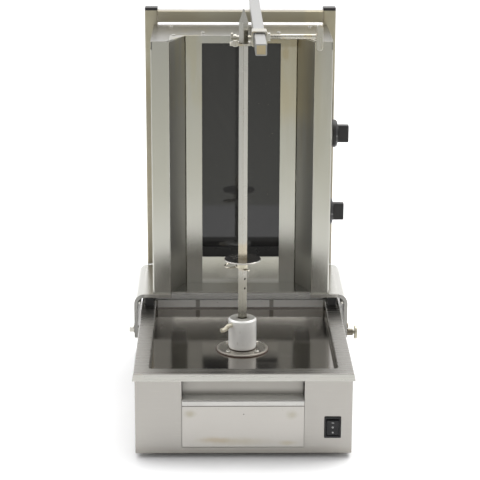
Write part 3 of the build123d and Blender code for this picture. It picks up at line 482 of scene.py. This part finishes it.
mats["tube_steel"] = steel(
    "tube_steel", (0.350, 0.322, 0.255), 0.30, "tower", 0.05, 0.05, cloud=0.08,
    # painted light: the front faces of the upper posts and rail are lighter
    tints=[(times(zband(0.56, 0.625, 0.10), lambda M: M.remap(M.math("MULTIPLY", M.nrm()[1], -1.0), 0.7, 0.9)), (0.50, 0.47, 0.37, 1), 0.8),
           (speck(1.0, 0.40, 0.75, 3.0, (9, 9, 16)), srgb(160, 148, 116), 0.35),
           (box_mask((0.118, 0.145), None, (0.60, 0.63), 0.010), srgb(198, 188, 158), 0.45),
           (scratches(9.0, 0.66, "x"), srgb(214, 206, 184), 0.25)])
mats["arm_steel"] = steel(
    "arm_steel", (0.375, 0.372, 0.362), 0.30, "y", 0.04, 0.06, cloud=0.04,
    tints=[(box_mask((0.0181, 0.0307), (-0.2142, -0.2128), (0.6304, 0.6431), 0.0008), srgb(196, 178, 138), 0.75),
           (speck(150, 0.66, 0.78, 7.0), srgb(168, 154, 124), 0.35)])
mats["holder_steel"] = steel(
    "holder_steel", (0.52, 0.50, 0.44), 0.28, "tower", 0.05, 0.08, cloud=0.08,
    tints=[(speck(90, 0.52, 0.70, 2.0), srgb(186, 168, 126), 0.45),
           (speck(500, 0.66, 0.72, 4.0), srgb(118, 100, 72), 0.35)])
mats["spit_steel"] = steel(
    "spit_steel", (0.370, 0.362, 0.328), 0.26, "z", 0.02, 0.04, cloud=0.03,
    tints=[(zband(0.178, 0.235, 0.03), (0.20, 0.19, 0.155, 1), 0.80),
           (zband(0.264, 0.300, 0.008), srgb(176, 154, 110), 0.30),
           (times(speck(600, 0.62, 0.70, 4.0), zband(0.18, 0.34, 0.05)), srgb(120, 98, 66), 0.5),
           (scratches(3.0, 0.64, "z"), srgb(214, 212, 204), 0.12)])
mats["disc_steel"] = steel(
    "disc_steel", (0.50, 0.48, 0.45), 0.19, "x", 0.06, 0.06, cloud=0.10,
    tints=[(zband(0.20, 0.2747, 0.0006), srgb(186, 180, 158), 0.75, "MIX", 0.10),
           (spot((0.006, SPIT_Y - 0.006, 0.2785), (0.014, 0.014, 0.003), 0.8, 0.6, 2.0), srgb(150, 136, 108), 0.5),
           (speck(300, 0.66, 0.74, 1.0), srgb(98, 88, 72), 0.4)], smudge=0.10)
mats["spring_wire"] = steel("spring_wire", (0.56, 0.53, 0.45), 0.18, "x", 0.06, 0.05, cloud=0.10, bevel=0.0,
                            tints=[(speck(420, 0.58, 0.68, 1.0), srgb(140, 116, 78), 0.5)])
mats["pin_steel"] = steel("pin_steel", (0.74, 0.70, 0.58), 0.42, "x", 0.05, 0.06, cloud=0.12,
                          tints=[(speck(260, 0.55, 0.70, 5.0), srgb(150, 128, 88), 0.5)])


def hub_material():
    M = Mat("hub_aluminium")
    t = turned(M, 0.0, SPIT_Y, 0.0, "z", 1800.0)
    td = M.math("SUBTRACT", t, 0.5)
    c1 = M.noise(M.scaled((26, 26, 18), (2, 7, 1)), 1.0, 4.0, 0.55, 0.5)
    bright = M.math("ADD", 1.0, M.math("ADD", M.math("MULTIPLY", td, 0.10),
                                       M.math("MULTIPLY", M.math("SUBTRACT", c1, 0.5), 0.16)))
    a = M.node("ShaderNodeCombineXYZ")
    for i, c in enumerate((0.86, 0.855, 0.83)):
        M.link(M.math("MULTIPLY", bright, c), a.inputs[i])
    col = a.outputs[0]
    z = M.xyz()[2]
    col = M.mix(M.math("MULTIPLY", M.remap(z, 0.1280, 0.1296, 1.0, 0.0), 0.7), col, srgb(96, 76, 58))
    col = M.mix(M.math("MULTIPLY", M.spot((0, SPIT_Y, 0.1785), (0.0135, 0.0135, 0.004), 0.5, 0.3), 0.7), col,
                srgb(128, 108, 84))
    fl = M.remap(M.noise(M.scaled((190, 190, 70), (3, 3, 3)), 1.0, 3.0), 0.60, 0.74)
    col = M.mix(M.math("MULTIPLY", fl, 0.35), col, srgb(168, 160, 146))
    top = M.math("MULTIPLY", M.remap(M.nrm()[2], 0.9, 0.98), M.remap(z, 0.1770, 0.1780))
    col = M.mix(M.math("MULTIPLY", top, 0.8), col, (0.36, 0.35, 0.315, 1))
    M.set("Base Color", col)
    M.set("Metallic", 0.35)
    M.link(M.math("ADD", 0.36, M.math("MULTIPLY", M.math("SUBTRACT", c1, 0.5), 0.2)), M.p.inputs["Roughness"])
    M.bump(t, 0.00003, 0.5)
    return M.finish(0.0008)


mats["hub_aluminium"] = hub_material()


def flange_material():
    M = Mat("turned_steel")
    t = turned(M, 0.0, SPIT_Y, 0.0, "z", 1300.0)
    c1 = M.noise(M.scaled((60, 60, 60), (2, 7, 1)), 1.0, 4.0, 0.6, 0.5)
    bright = M.math("ADD", 1.0, M.math("ADD", M.math("MULTIPLY", M.math("SUBTRACT", t, 0.5), 0.14),
                                       M.math("MULTIPLY", M.math("SUBTRACT", c1, 0.5), 0.35)))
    a = M.node("ShaderNodeCombineXYZ")
    for i, c in enumerate((0.50, 0.47, 0.425)):
        M.link(M.math("MULTIPLY", bright, c), a.inputs[i])
    col = a.outputs[0]
    x, y, z = M.xyz()
    yy = M.math("SUBTRACT", y, SPIT_Y)
    r = M.math("SQRT", M.math("ADD", M.math("MULTIPLY", x, x), M.math("MULTIPLY", yy, yy)))
    rust = M.math("ADD", r, M.math("MULTIPLY", M.math("SUBTRACT", c1, 0.5), 0.004))
    col = M.mix(M.math("MULTIPLY", M.remap(rust, 0.0408, 0.0418), 0.18), col, srgb(116, 88, 68))
    col = M.mix(M.math("MULTIPLY", M.remap(rust, 0.0225, 0.0265, 1.0, 0.0), 0.35), col, srgb(92, 78, 64))
    M.set("Base Color", col)
    M.set("Metallic", 1.0)
    M.link(M.math("ADD", 0.24, M.math("MULTIPLY", M.remap(rust, 0.036, 0.041), 0.25)), M.p.inputs["Roughness"])
    M.bump(t, 0.00002, 0.5)
    return M.finish(0.0005)


mats["turned_steel"] = flange_material()
mats["plated_steel"] = steel("plated_steel", (0.60, 0.585, 0.54), 0.26, "x", 0.06, 0.08, cloud=0.12,
                             tints=[(speck(340, 0.58, 0.72, 3.0), srgb(150, 136, 104), 0.4),
                                    (box_mask((0.1838, 0.1946), (0.0, 0.12), (0.08, 0.12), 0.0004), srgb(92, 84, 66), 0.85),
                                    (box_mask((0.1950, 0.2030), (0.0, 0.12), (0.08, 0.12), 0.0004), srgb(168, 162, 140), 0.7)])
mats["painted_casting"] = plain("painted_casting", (0.085, 0.092, 0.10), 0.45, 0.0,
                                ((500, 0.00015), (120, 0.0003)), dust=(srgb(150, 144, 132), 0.3))
mats["black_plastic"] = plain("black_plastic", (0.012, 0.012, 0.0125), 0.45, dust=(srgb(110, 108, 102), 0.10), ior=1.38)
mats["black_gloss"] = plain("black_gloss", (0.011, 0.011, 0.0115), 0.32, bumps=((700, 0.00001),), ior=1.38)
mats["knob_black"] = plain("knob_black", (0.018, 0.017, 0.018), 0.38, bumps=((1500, 0.00003), (90, 0.00006)),
                           dust=(srgb(130, 126, 118), 0.08))
mats["cap_black"] = plain("cap_black", (0.018, 0.016, 0.017), 0.38, bumps=((1200, 0.00003),),
                          dust=(srgb(140, 136, 128), 0.12))
mats["white_plastic"] = plain("white_plastic", (0.62, 0.60, 0.55), 0.45)
mats["nylon_dark"] = plain("nylon_dark", (0.05, 0.05, 0.05), 0.5)
mats["rubber_black"] = plain("rubber_black", (0.02, 0.02, 0.02), 0.75, bumps=((600, 0.0001),),
                             dust=(srgb(120, 116, 108), 0.2))
mats["gasket_red"] = plain("gasket_red", (0.085, 0.050, 0.038), 0.7, bumps=((700, 0.0001),))
mats["reveal_black"] = plain("reveal_black", (0.010, 0.010, 0.010), 0.30, bumps=((400, 0.00005),))
mats["insulation_pan"] = plain("insulation_pan", (0.55, 0.53, 0.47), 0.7, bumps=((300, 0.0003),))
mats["element_wire"] = plain("element_wire", (0.20, 0.16, 0.13), 0.5, 1.0)


def glass_material():
    """Dark glass ceramic: polished, with faint wipe marks and a slight tint."""
    M = Mat("ceramic_glass")
    n = M.noise(M.scaled((6, 6, 3), (1, 2, 3)), 1.0, 4.0, 0.6, 1.5)
    n2 = M.noise(M.scaled((160, 160, 30), (4, 1, 3)), 1.0, 3.0, 0.6)
    col = M.mix(M.remap(n, 0.35, 0.7), (0.018, 0.018, 0.0182, 1), (0.023, 0.0227, 0.0225, 1))
    sp = M.remap(M.noise(M.scaled((420, 420, 420), (7, 7, 7)), 1.0, 1.0), 0.765, 0.79)
    col = M.mix(M.math("MULTIPLY", sp, 0.35), col, srgb(150, 140, 120))
    M.set("Base Color", col)
    r = M.math("ADD", 0.035, M.math("MULTIPLY", M.remap(n, 0.5, 0.8), 0.035))
    r = M.math("ADD", r, M.math("MULTIPLY", M.remap(n2, 0.55, 0.75), 0.02))
    M.link(r, M.p.inputs["Roughness"])
    M.p.inputs["IOR"].default_value = 1.54
    return M.finish(0.0)


mats["ceramic_glass"] = glass_material()

for s in frame["record"]["subparts"]:
    o = nodes[s["node"]]
    m = mats[s["material_slot"]]
    if not o.material_slots:
        o.data.materials.append(m)
    for sl in o.material_slots:
        sl.material = m


# ------------------------------------------------------------------ mesh helpers
def new_mesh(name, bm, material, smooth=True, angle=40.0):
    bmesh.ops.recalc_face_normals(bm, faces=bm.faces)
    me = bpy.data.meshes.new(name)
    bm.to_mesh(me)
    bm.free()
    o = bpy.data.objects.new(name, me)
    scene.collection.objects.link(o)
    o.data.materials.append(material)
    if smooth:
        for p in me.polygons:
            p.use_smooth = True
        me.set_sharp_from_angle(angle=math.radians(angle))
    return o


def lathe(bm, profile, centre, axis, segs=32, wobble=0.0, seed=1):
    """Turn a closed (radius, height) profile about an axis through centre."""
    rnd = random.Random(seed)
    axis = Vector(axis).normalized()
    u = axis.orthogonal().normalized()
    v = axis.cross(u)
    centre = Vector(centre)
    rings = []
    ph = [rnd.uniform(0, 6.28) for _ in range(4)]
    for k in range(segs):
        a = 2 * math.pi * k / segs
        w = 1 + wobble * (0.5 * math.sin(3 * a + ph[0]) + 0.35 * math.sin(7 * a + ph[1]) + 0.25 * math.sin(13 * a + ph[2]))
        d = u * math.cos(a) + v * math.sin(a)
        rings.append([bm.verts.new(centre + d * (r * w) + axis * h) for r, h in profile])
    n = len(profile)
    for k in range(segs):
        a, b = rings[k], rings[(k + 1) % segs]
        for i in range(n):
            j = (i + 1) % n
            bm.faces.new((a[i], a[j], b[j], b[i]))


def bead(bm, path, radius, seed, closed=False, segs=10, lump=0.25):
    """A lumpy weld bead along a path."""
    rnd = random.Random(seed)
    pts = [Vector(p) for p in path]
    n = len(pts)
    rings = []
    for i, p in enumerate(pts):
        t = (pts[(i + 1) % n] - pts[i - 1]) if closed else (pts[min(i + 1, n - 1)] - pts[max(i - 1, 0)])
        t.normalize()
        u = t.orthogonal().normalized()
        v = t.cross(u)
        r = radius * (1 + lump * math.sin(i * 1.9 + seed) + rnd.uniform(-0.12, 0.12))
        if not closed and i in (0, n - 1):
            r *= 0.35
        rings.append([bm.verts.new(p + (u * math.cos(2 * math.pi * k / segs) + v * math.sin(2 * math.pi * k / segs)) * r)
                      for k in range(segs)])
    last = n if closed else n - 1
    for i in range(last):
        a, b = rings[i], rings[(i + 1) % n]
        if closed and i == n - 1:
            # line the last ring up with the first
            best = min(range(segs), key=lambda s: sum((a[k].co - b[(k + s) % segs].co).length for k in range(segs)))
            b = [b[(k + best) % segs] for k in range(segs)]
        for k in range(segs):
            j = (k + 1) % segs
            bm.faces.new((a[k], a[j], b[j], b[k]))
    if not closed:
        bm.faces.new(rings[0][::-1])
        bm.faces.new(rings[-1])


def screw_head(bm, centre, axis, r=0.0035, h=0.0022, slot=True, segs=24):
    """A pan-head screw with a cross recess, standing on a surface."""
    prof = [(0.00001, -0.0003), (r, -0.0003), (r, h * 0.35), (r * 0.93, h * 0.68), (r * 0.72, h * 0.93),
            (r * 0.45, h), (r * 0.30, h), (r * 0.26, h * 0.35), (0.00001, h * 0.30)]
    lathe(bm, prof, centre, axis, segs)
    if slot:
        ax = Vector(axis).normalized()
        u = ax.orthogonal().normalized()
        v = ax.cross(u)
        c = Vector(centre)
        for d in (u, v):
            e = ax.cross(d)
            w, l = r * 0.12, r * 0.62
            z0, z1 = h * 0.50, h * 1.005
            co = [c + d * sx * l + e * sy * w + ax * z for z in (z0, z1) for sx, sy in ((-1, -1), (1, -1), (1, 1), (-1, 1))]
            vs = [bm.verts.new(p) for p in co]
            for f in ((0, 1, 2, 3), (4, 5, 6, 7), (0, 1, 5, 4), (1, 2, 6, 5), (2, 3, 7, 6), (3, 0, 4, 7)):
                bm.faces.new([vs[i] for i in f])


# ------------------------------------------------------------------ extra pieces
lo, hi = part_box("clamp_screw")
cs_y = (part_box("clamp_nut")[0].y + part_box("clamp_nut")[1].y) / 2
cs_z = (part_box("clamp_nut")[0].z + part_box("clamp_nut")[1].z) / 2
nut_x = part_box("clamp_nut")[1].x

# screw thread between the nut and the handle's tube
bm = bmesh.new()
x0, x1, pitch = nut_x + 0.0006, 0.0578, 0.0011
per = 20
turns = int((x1 - x0) / pitch)
rings = []
for i in range(turns * per + 1):
    a = 2 * math.pi * i / per
    xc = x0 + pitch * i / per
    rad = Vector((0, math.cos(a), math.sin(a)))
    c = Vector((xc, cs_y, cs_z))
    rings.append([bm.verts.new(c + rad * rr + Vector((dx, 0, 0))) for rr, dx in
                  ((0.0033, -0.0004), (0.00405, 0.0), (0.0033, 0.0004))])
for a, b in zip(rings, rings[1:]):
    for k in range(3):
        j = (k + 1) % 3
        bm.faces.new((a[k], a[j], b[j], b[k]))
bm.faces.new(rings[0][::-1])
bm.faces.new(rings[-1])
mats["thread_dark"] = steel("thread_dark", (0.17, 0.155, 0.135), 0.35, "x", 0.05, 0.08, cloud=0.1, bevel=0.0)
thread = new_mesh("clamp_thread", bm, mats["thread_dark"], True, 30)
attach(thread, "clamp_screw")

# turned foot of the hub, down to just above the flange
hub_lo, hub_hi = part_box("hub")
fl_lo, fl_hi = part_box("hub_flange")
bm = bmesh.new()
z0, z1 = fl_hi.z + 0.0003, hub_lo.z + 0.0006
lathe(bm, [(0.0150, z0 + 0.0004), (0.0205, z0), (0.0216, z0 + 0.0003), (0.0219, z0 + 0.0010), (0.0217, z1 - 0.0012),
           (0.0221, z1 - 0.0008), (0.0221, z1), (0.0150, z1)], (0.0, SPIT_Y, 0.0), (0, 0, 1), 96)
w = new_mesh("hub_foot", bm, mats["hub_aluminium"])
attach(w, "hub")

# weld beads: handle on its tube, guide plate on the sleeve, nut on the sleeve, rail on the posts
mats["weld"] = steel("weld_bead", (0.52, 0.48, 0.40), 0.32, "x", 0.08, 0.10, cloud=0.2, bevel=0.0,
                     tints=[(speck(500, 0.5, 0.65, 3.0), srgb(140, 112, 76), 0.5)])
bm = bmesh.new()
ring = [(0.1131, cs_y + 0.0043 * math.cos(2 * math.pi * i / 28), cs_z + 0.0043 * math.sin(2 * math.pi * i / 28))
        for i in range(28)]
bead(bm, ring, 0.0009, 3, True)
w = new_mesh("handle_weld", bm, mats["weld"])
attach(w, "clamp_screw")

sl_lo, sl_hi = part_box("sleeve")
gp_lo, gp_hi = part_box("guide_plate")
bm = bmesh.new()
n = 18
bead(bm, [(sl_lo.x - 0.0004, SPIT_Y - 0.009 + 0.024 * i / (n - 1), 0.6286) for i in range(n)], 0.0011, 5)
for dz in (-0.0062, 0.0062):
    bead(bm, [(sl_hi.x + 0.0003, cs_y - 0.0052 + 0.0104 * i / 9, cs_z + dz) for i in range(10)], 0.0008, 7)
w = new_mesh("holder_welds", bm, mats["weld"])
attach(w, "holder")

lp_lo, lp_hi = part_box("left_post")
rp_lo, rp_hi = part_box("right_post")
rr_lo, rr_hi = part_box("rear_rail")
bm = bmesh.new()
for px, s in ((lp_hi.x, 1), (rp_lo.x, -1)):
    for zz in (rr_lo.z, rr_hi.z):
        n = 14
        bead(bm, [(px + s * 0.0003, rr_lo.y + 0.0015 + (rr_hi.y - rr_lo.y - 0.003) * i / (n - 1), zz) for i in range(n)],
             0.0010, 11 + px * 10)
    n = 12
    for yy in (rr_lo.y, rr_hi.y):
        bead(bm, [(px + s * 0.0003, yy, rr_lo.z + 0.002 + (rr_hi.z - rr_lo.z - 0.004) * i / (n - 1)) for i in range(n)],
             0.0008, 17)
ax_lo, ax_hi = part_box("arm")
for sx in (ax_lo.x, ax_hi.x):
    n = 12
    bead(bm, [(sx, rr_lo.y + 0.002 + (rr_hi.y - rr_lo.y - 0.004) * i / (n - 1), rr_hi.z + 0.0002) for i in range(n)], 0.0010, 23)
w = new_mesh("frame_welds", bm, mats["weld"])
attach(w, "tower")

# pan-head screws on the covers
bm = bmesh.new()
bc_lo, bc_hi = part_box("back_cover")
for x in (bc_lo.x + 0.010, 0.0, bc_hi.x - 0.010):
    for z in (bc_lo.z + 0.012, (bc_lo.z + bc_hi.z) / 2, bc_hi.z - 0.012):
        if x == 0.0 and bc_lo.z + 0.05 < z < bc_hi.z - 0.05:
            continue
        screw_head(bm, (x, bc_hi.y, z), (0, 1, 0))
w = new_mesh("cover_screws", bm, mats["plated_steel"])
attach(w, "tower")

bm = bmesh.new()
rp2_lo, rp2_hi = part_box("base_rear_panel")
for x in (rp2_lo.x + 0.010, 0.0, rp2_hi.x - 0.010):
    for z in (rp2_lo.z + 0.010, rp2_hi.z - 0.018):
        screw_head(bm, (x, rp2_hi.y, z), (0, 1, 0))
bs_lo, bs_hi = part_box("base_shell")
for s, x in ((-1, bs_lo.x), (1, bs_hi.x)):
    for y in (-0.19, 0.0, 0.19):
        screw_head(bm, (x, y, 0.0135), (s, 0, 0), 0.003, 0.0018)
w = new_mesh("base_screws", bm, mats["plated_steel"])
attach(w, "base")

# three plain marks on the rocker
mats["mark_white"] = plain("mark_white", (0.46, 0.46, 0.45), 0.5, cvar=0.1, bumps=((900, 0.00001),), bevel=0.0)
rk_lo, rk_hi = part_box("switch_rocker")
rk_x = (rk_lo.x + rk_hi.x) / 2
sw_z = (rk_lo.z + rk_hi.z) / 2


def rocker_face(z):
    """Front surface of the rocker at a height: two flats that meet at the middle."""
    d = abs(z - sw_z) * 1000
    return (-2.4 - 1.5 * min(d, 11.6) / 11.6) / 1000 - BASE_HALF_Y


bm = bmesh.new()


def pad(bm, cx, cz, w, h, hole=0.0, steps=28):
    """A thin printed mark: an oval or a ring, following the rocker's face."""
    up = 0.00012
    outer_top, outer_bot, inner_top, inner_bot = [], [], [], []
    for i in range(steps):
        a = 2 * math.pi * i / steps
        x, z = cx + w * math.cos(a), cz + h * math.sin(a)
        outer_top.append(bm.verts.new((x, rocker_face(z) - up, z)))
        outer_bot.append(bm.verts.new((x, rocker_face(z) + 0.0002, z)))
        x, z = cx + w * hole * math.cos(a), cz + h * hole * math.sin(a)
        inner_top.append(bm.verts.new((x, rocker_face(z) - up, z)))
        inner_bot.append(bm.verts.new((x, rocker_face(z) + 0.0002, z)))
    for i in range(steps):
        j = (i + 1) % steps
        bm.faces.new((outer_top[i], outer_top[j], inner_top[j], inner_top[i]))
        bm.faces.new((outer_bot[i], outer_bot[j], inner_bot[j], inner_bot[i]))
        bm.faces.new((outer_top[i], outer_top[j], outer_bot[j], outer_bot[i]))
        bm.faces.new((inner_top[i], inner_top[j], inner_bot[j], inner_bot[i]))


pad(bm, rk_x, sw_z + 0.0082, 0.0019, 0.0006, 0.05)
pad(bm, rk_x, sw_z + 0.0003, 0.0015, 0.0015, 0.30)
pad(bm, rk_x, sw_z - 0.0078, 0.0013, 0.0013, 0.05)
marks = new_mesh("rocker_marks", bm, mats["mark_white"], False)
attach(marks, "rocker")

# pointer line on each knob and short scale strokes on its skirt
for knob, body in (("upper_knob", "upper_knob"), ("lower_knob", "lower_knob")):
    k_lo, k_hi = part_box(knob)
    ky, kz = (k_lo.y + k_hi.y) / 2, (k_lo.z + k_hi.z) / 2
    bm = bmesh.new()
    # pointer: a bevelled bar let into the end of the grip and over its top edge
    w2, t = 0.0007, 0.00015
    path = [(k_hi.x + t, kz + 0.004), (k_hi.x + t, kz + 0.0128), (k_hi.x - 0.0006 + t, kz + 0.0143),
            (k_hi.x - 0.0022, kz + 0.01495 + 0.0001), (k_hi.x - 0.012, kz + 0.0148 + 0.00015)]
    inner = [(k_hi.x - 0.0006, kz + 0.004), (k_hi.x - 0.0006, kz + 0.0124), (k_hi.x - 0.0011, kz + 0.0137),
             (k_hi.x - 0.0024, kz + 0.0142), (k_hi.x - 0.012, kz + 0.0142)]
    rows = []
    for (xa, za), (xb, zb) in zip(path, inner):
        rows.append([bm.verts.new((xa, ky - w2, za)), bm.verts.new((xa, ky + w2, za)),
                     bm.verts.new((xb, ky + w2, zb)), bm.verts.new((xb, ky - w2, zb))])
    for a, b in zip(rows, rows[1:]):
        for i in range(4):
            j = (i + 1) % 4
            bm.faces.new((a[i], a[j], b[j], b[i]))
    bm.faces.new(rows[0][::-1])
    bm.faces.new(rows[-1])
    # strokes on the cone of the skirt
    for i in range(0, 11):
        ang = math.radians(90 - 27 * i)
        ln = 0.0022 if i % 2 == 0 else 0.0014
        co = []
        for rr, xx in ((0.0234, k_lo.x + 0.0059), (0.0234 - ln, k_lo.x + 0.0059 + ln)):
            for sgn in (-1, 1):
                for off in (0.00012, -0.0003):
                    d = Vector((0, math.cos(ang), math.sin(ang)))
                    e = Vector((0, -math.sin(ang), math.cos(ang)))
                    nrm = (d + Vector((1.0, 0, 0))).normalized()
                    co.append(Vector((xx, ky, kz)) + d * rr + e * sgn * 0.00035 + nrm * off)
        vs = [bm.verts.new(c) for c in co]
        for f in ((0, 1, 3, 2), (4, 5, 7, 6), (0, 1, 5, 4), (2, 3, 7, 6), (0, 2, 6, 4), (1, 3, 7, 5)):
            bm.faces.new([vs[j] for j in f])
    pm = new_mesh(knob + "_marks", bm, mats["mark_white"], False)
    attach(pm, body)


# ------------------------------------------------------------------ stage, light, camera
def floor():
    me = bpy.data.meshes.new("stage_floor")
    bm = bmesh.new()
    for x, y in ((-9, -3.6), (9, -3.6), (9, 12), (-9, 12)):
        bm.verts.new((x, y, -0.00005))
    bm.faces.new(bm.verts)
    bm.to_mesh(me)
    bm.free()
    o = bpy.data.objects.new("stage_floor", me)
    scene.collection.objects.link(o)
    M = Mat("stage_white")
    # painted shade: the floor beyond y -1.03, out of view, is darker so that the front faces reflect a darker floor
    reflected_floor_shade = M.remap(M.xyz()[1], -1.045, -1.015)
    M.set("Base Color", M.mix(reflected_floor_shade, (0.74, 0.74, 0.68, 1), (0.965, 0.965, 0.97, 1)))
    M.p.inputs["Roughness"].default_value = 0.9
    M.p.inputs["Specular IOR Level"].default_value = 0.1
    o.data.materials.append(M.m)


floor()

world = bpy.data.worlds.new("studio")
scene.world = world
world.use_nodes = True
wt = world.node_tree
wt.nodes.clear()
wo = wt.nodes.new("ShaderNodeOutputWorld")
bg = wt.nodes.new("ShaderNodeBackground")
tcw = wt.nodes.new("ShaderNodeTexCoord")
sep = wt.nodes.new("ShaderNodeSeparateXYZ")
wt.links.new(tcw.outputs["Generated"], sep.inputs[0])
ramp = wt.nodes.new("ShaderNodeMapRange")
ramp.interpolation_type = "SMOOTHSTEP"
ramp.inputs["From Min"].default_value = -0.35
ramp.inputs["From Max"].default_value = 0.35
ramp.inputs["To Min"].default_value = 0.62
ramp.inputs["To Max"].default_value = 1.06
wt.links.new(sep.outputs[1], ramp.inputs["Value"])
bg.inputs["Color"].default_value = (1.0, 1.0, 1.0, 1)
wt.links.new(ramp.outputs["Result"], bg.inputs["Strength"])
wt.links.new(bg.outputs[0], wo.inputs[0])


def area(name, loc, target, size, energy, color=(1, 1, 1), size_y=None):
    d = bpy.data.lights.new(name, "AREA")
    d.energy = energy
    d.color = color
    d.size = size
    if size_y:
        d.shape = "RECTANGLE"
        d.size_y = size_y
    o = bpy.data.objects.new(name, d)
    scene.collection.objects.link(o)
    o.location = loc
    o.rotation_euler = (Vector(target) - Vector(loc)).to_track_quat("-Z", "Y").to_euler()
    return o


area("key", (1.5, 0.7, 2.7), (0, 0, 0.1), 1.5, 40.0, (1.0, 0.99, 0.975))
area("fill", (-1.7, 0.2, 2.2), (0, 0, 0.25), 1.4, 14.0, (0.985, 0.99, 1.0))
area("top", (0, 1.0, 3.0), (0, 0.1, 0), 2.4, 40.0)
area("back", (0, 4.5, 3.6), (0, 5.0, 0), 4.0, 60.0)

cam_data = bpy.data.cameras.new("camera")
cam = bpy.data.objects.new("camera", cam_data)
scene.collection.objects.link(cam)
scene.camera = cam
cam_data.sensor_width = 36.0
cam_data.lens = 128.6
cam_data.clip_start, cam_data.clip_end = 0.05, 60.0
pitch_a, yaw, roll = math.radians(16.07), math.radians(0.877), math.radians(0.221)
fw = Vector((math.sin(yaw) * math.cos(pitch_a), math.cos(yaw) * math.cos(pitch_a), -math.sin(pitch_a)))
rt = Vector((math.cos(yaw), -math.sin(yaw), 0))
up = rt.cross(fw)
r_ = rt * math.cos(roll) + up * math.sin(roll)
u_ = up * math.cos(roll) - rt * math.sin(roll)
cam.matrix_world = Matrix(((r_.x, u_.x, -fw.x, -0.0449), (r_.y, u_.y, -fw.y, -2.748), (r_.z, u_.z, -fw.z, 1.072),
                           (0, 0, 0, 1)))
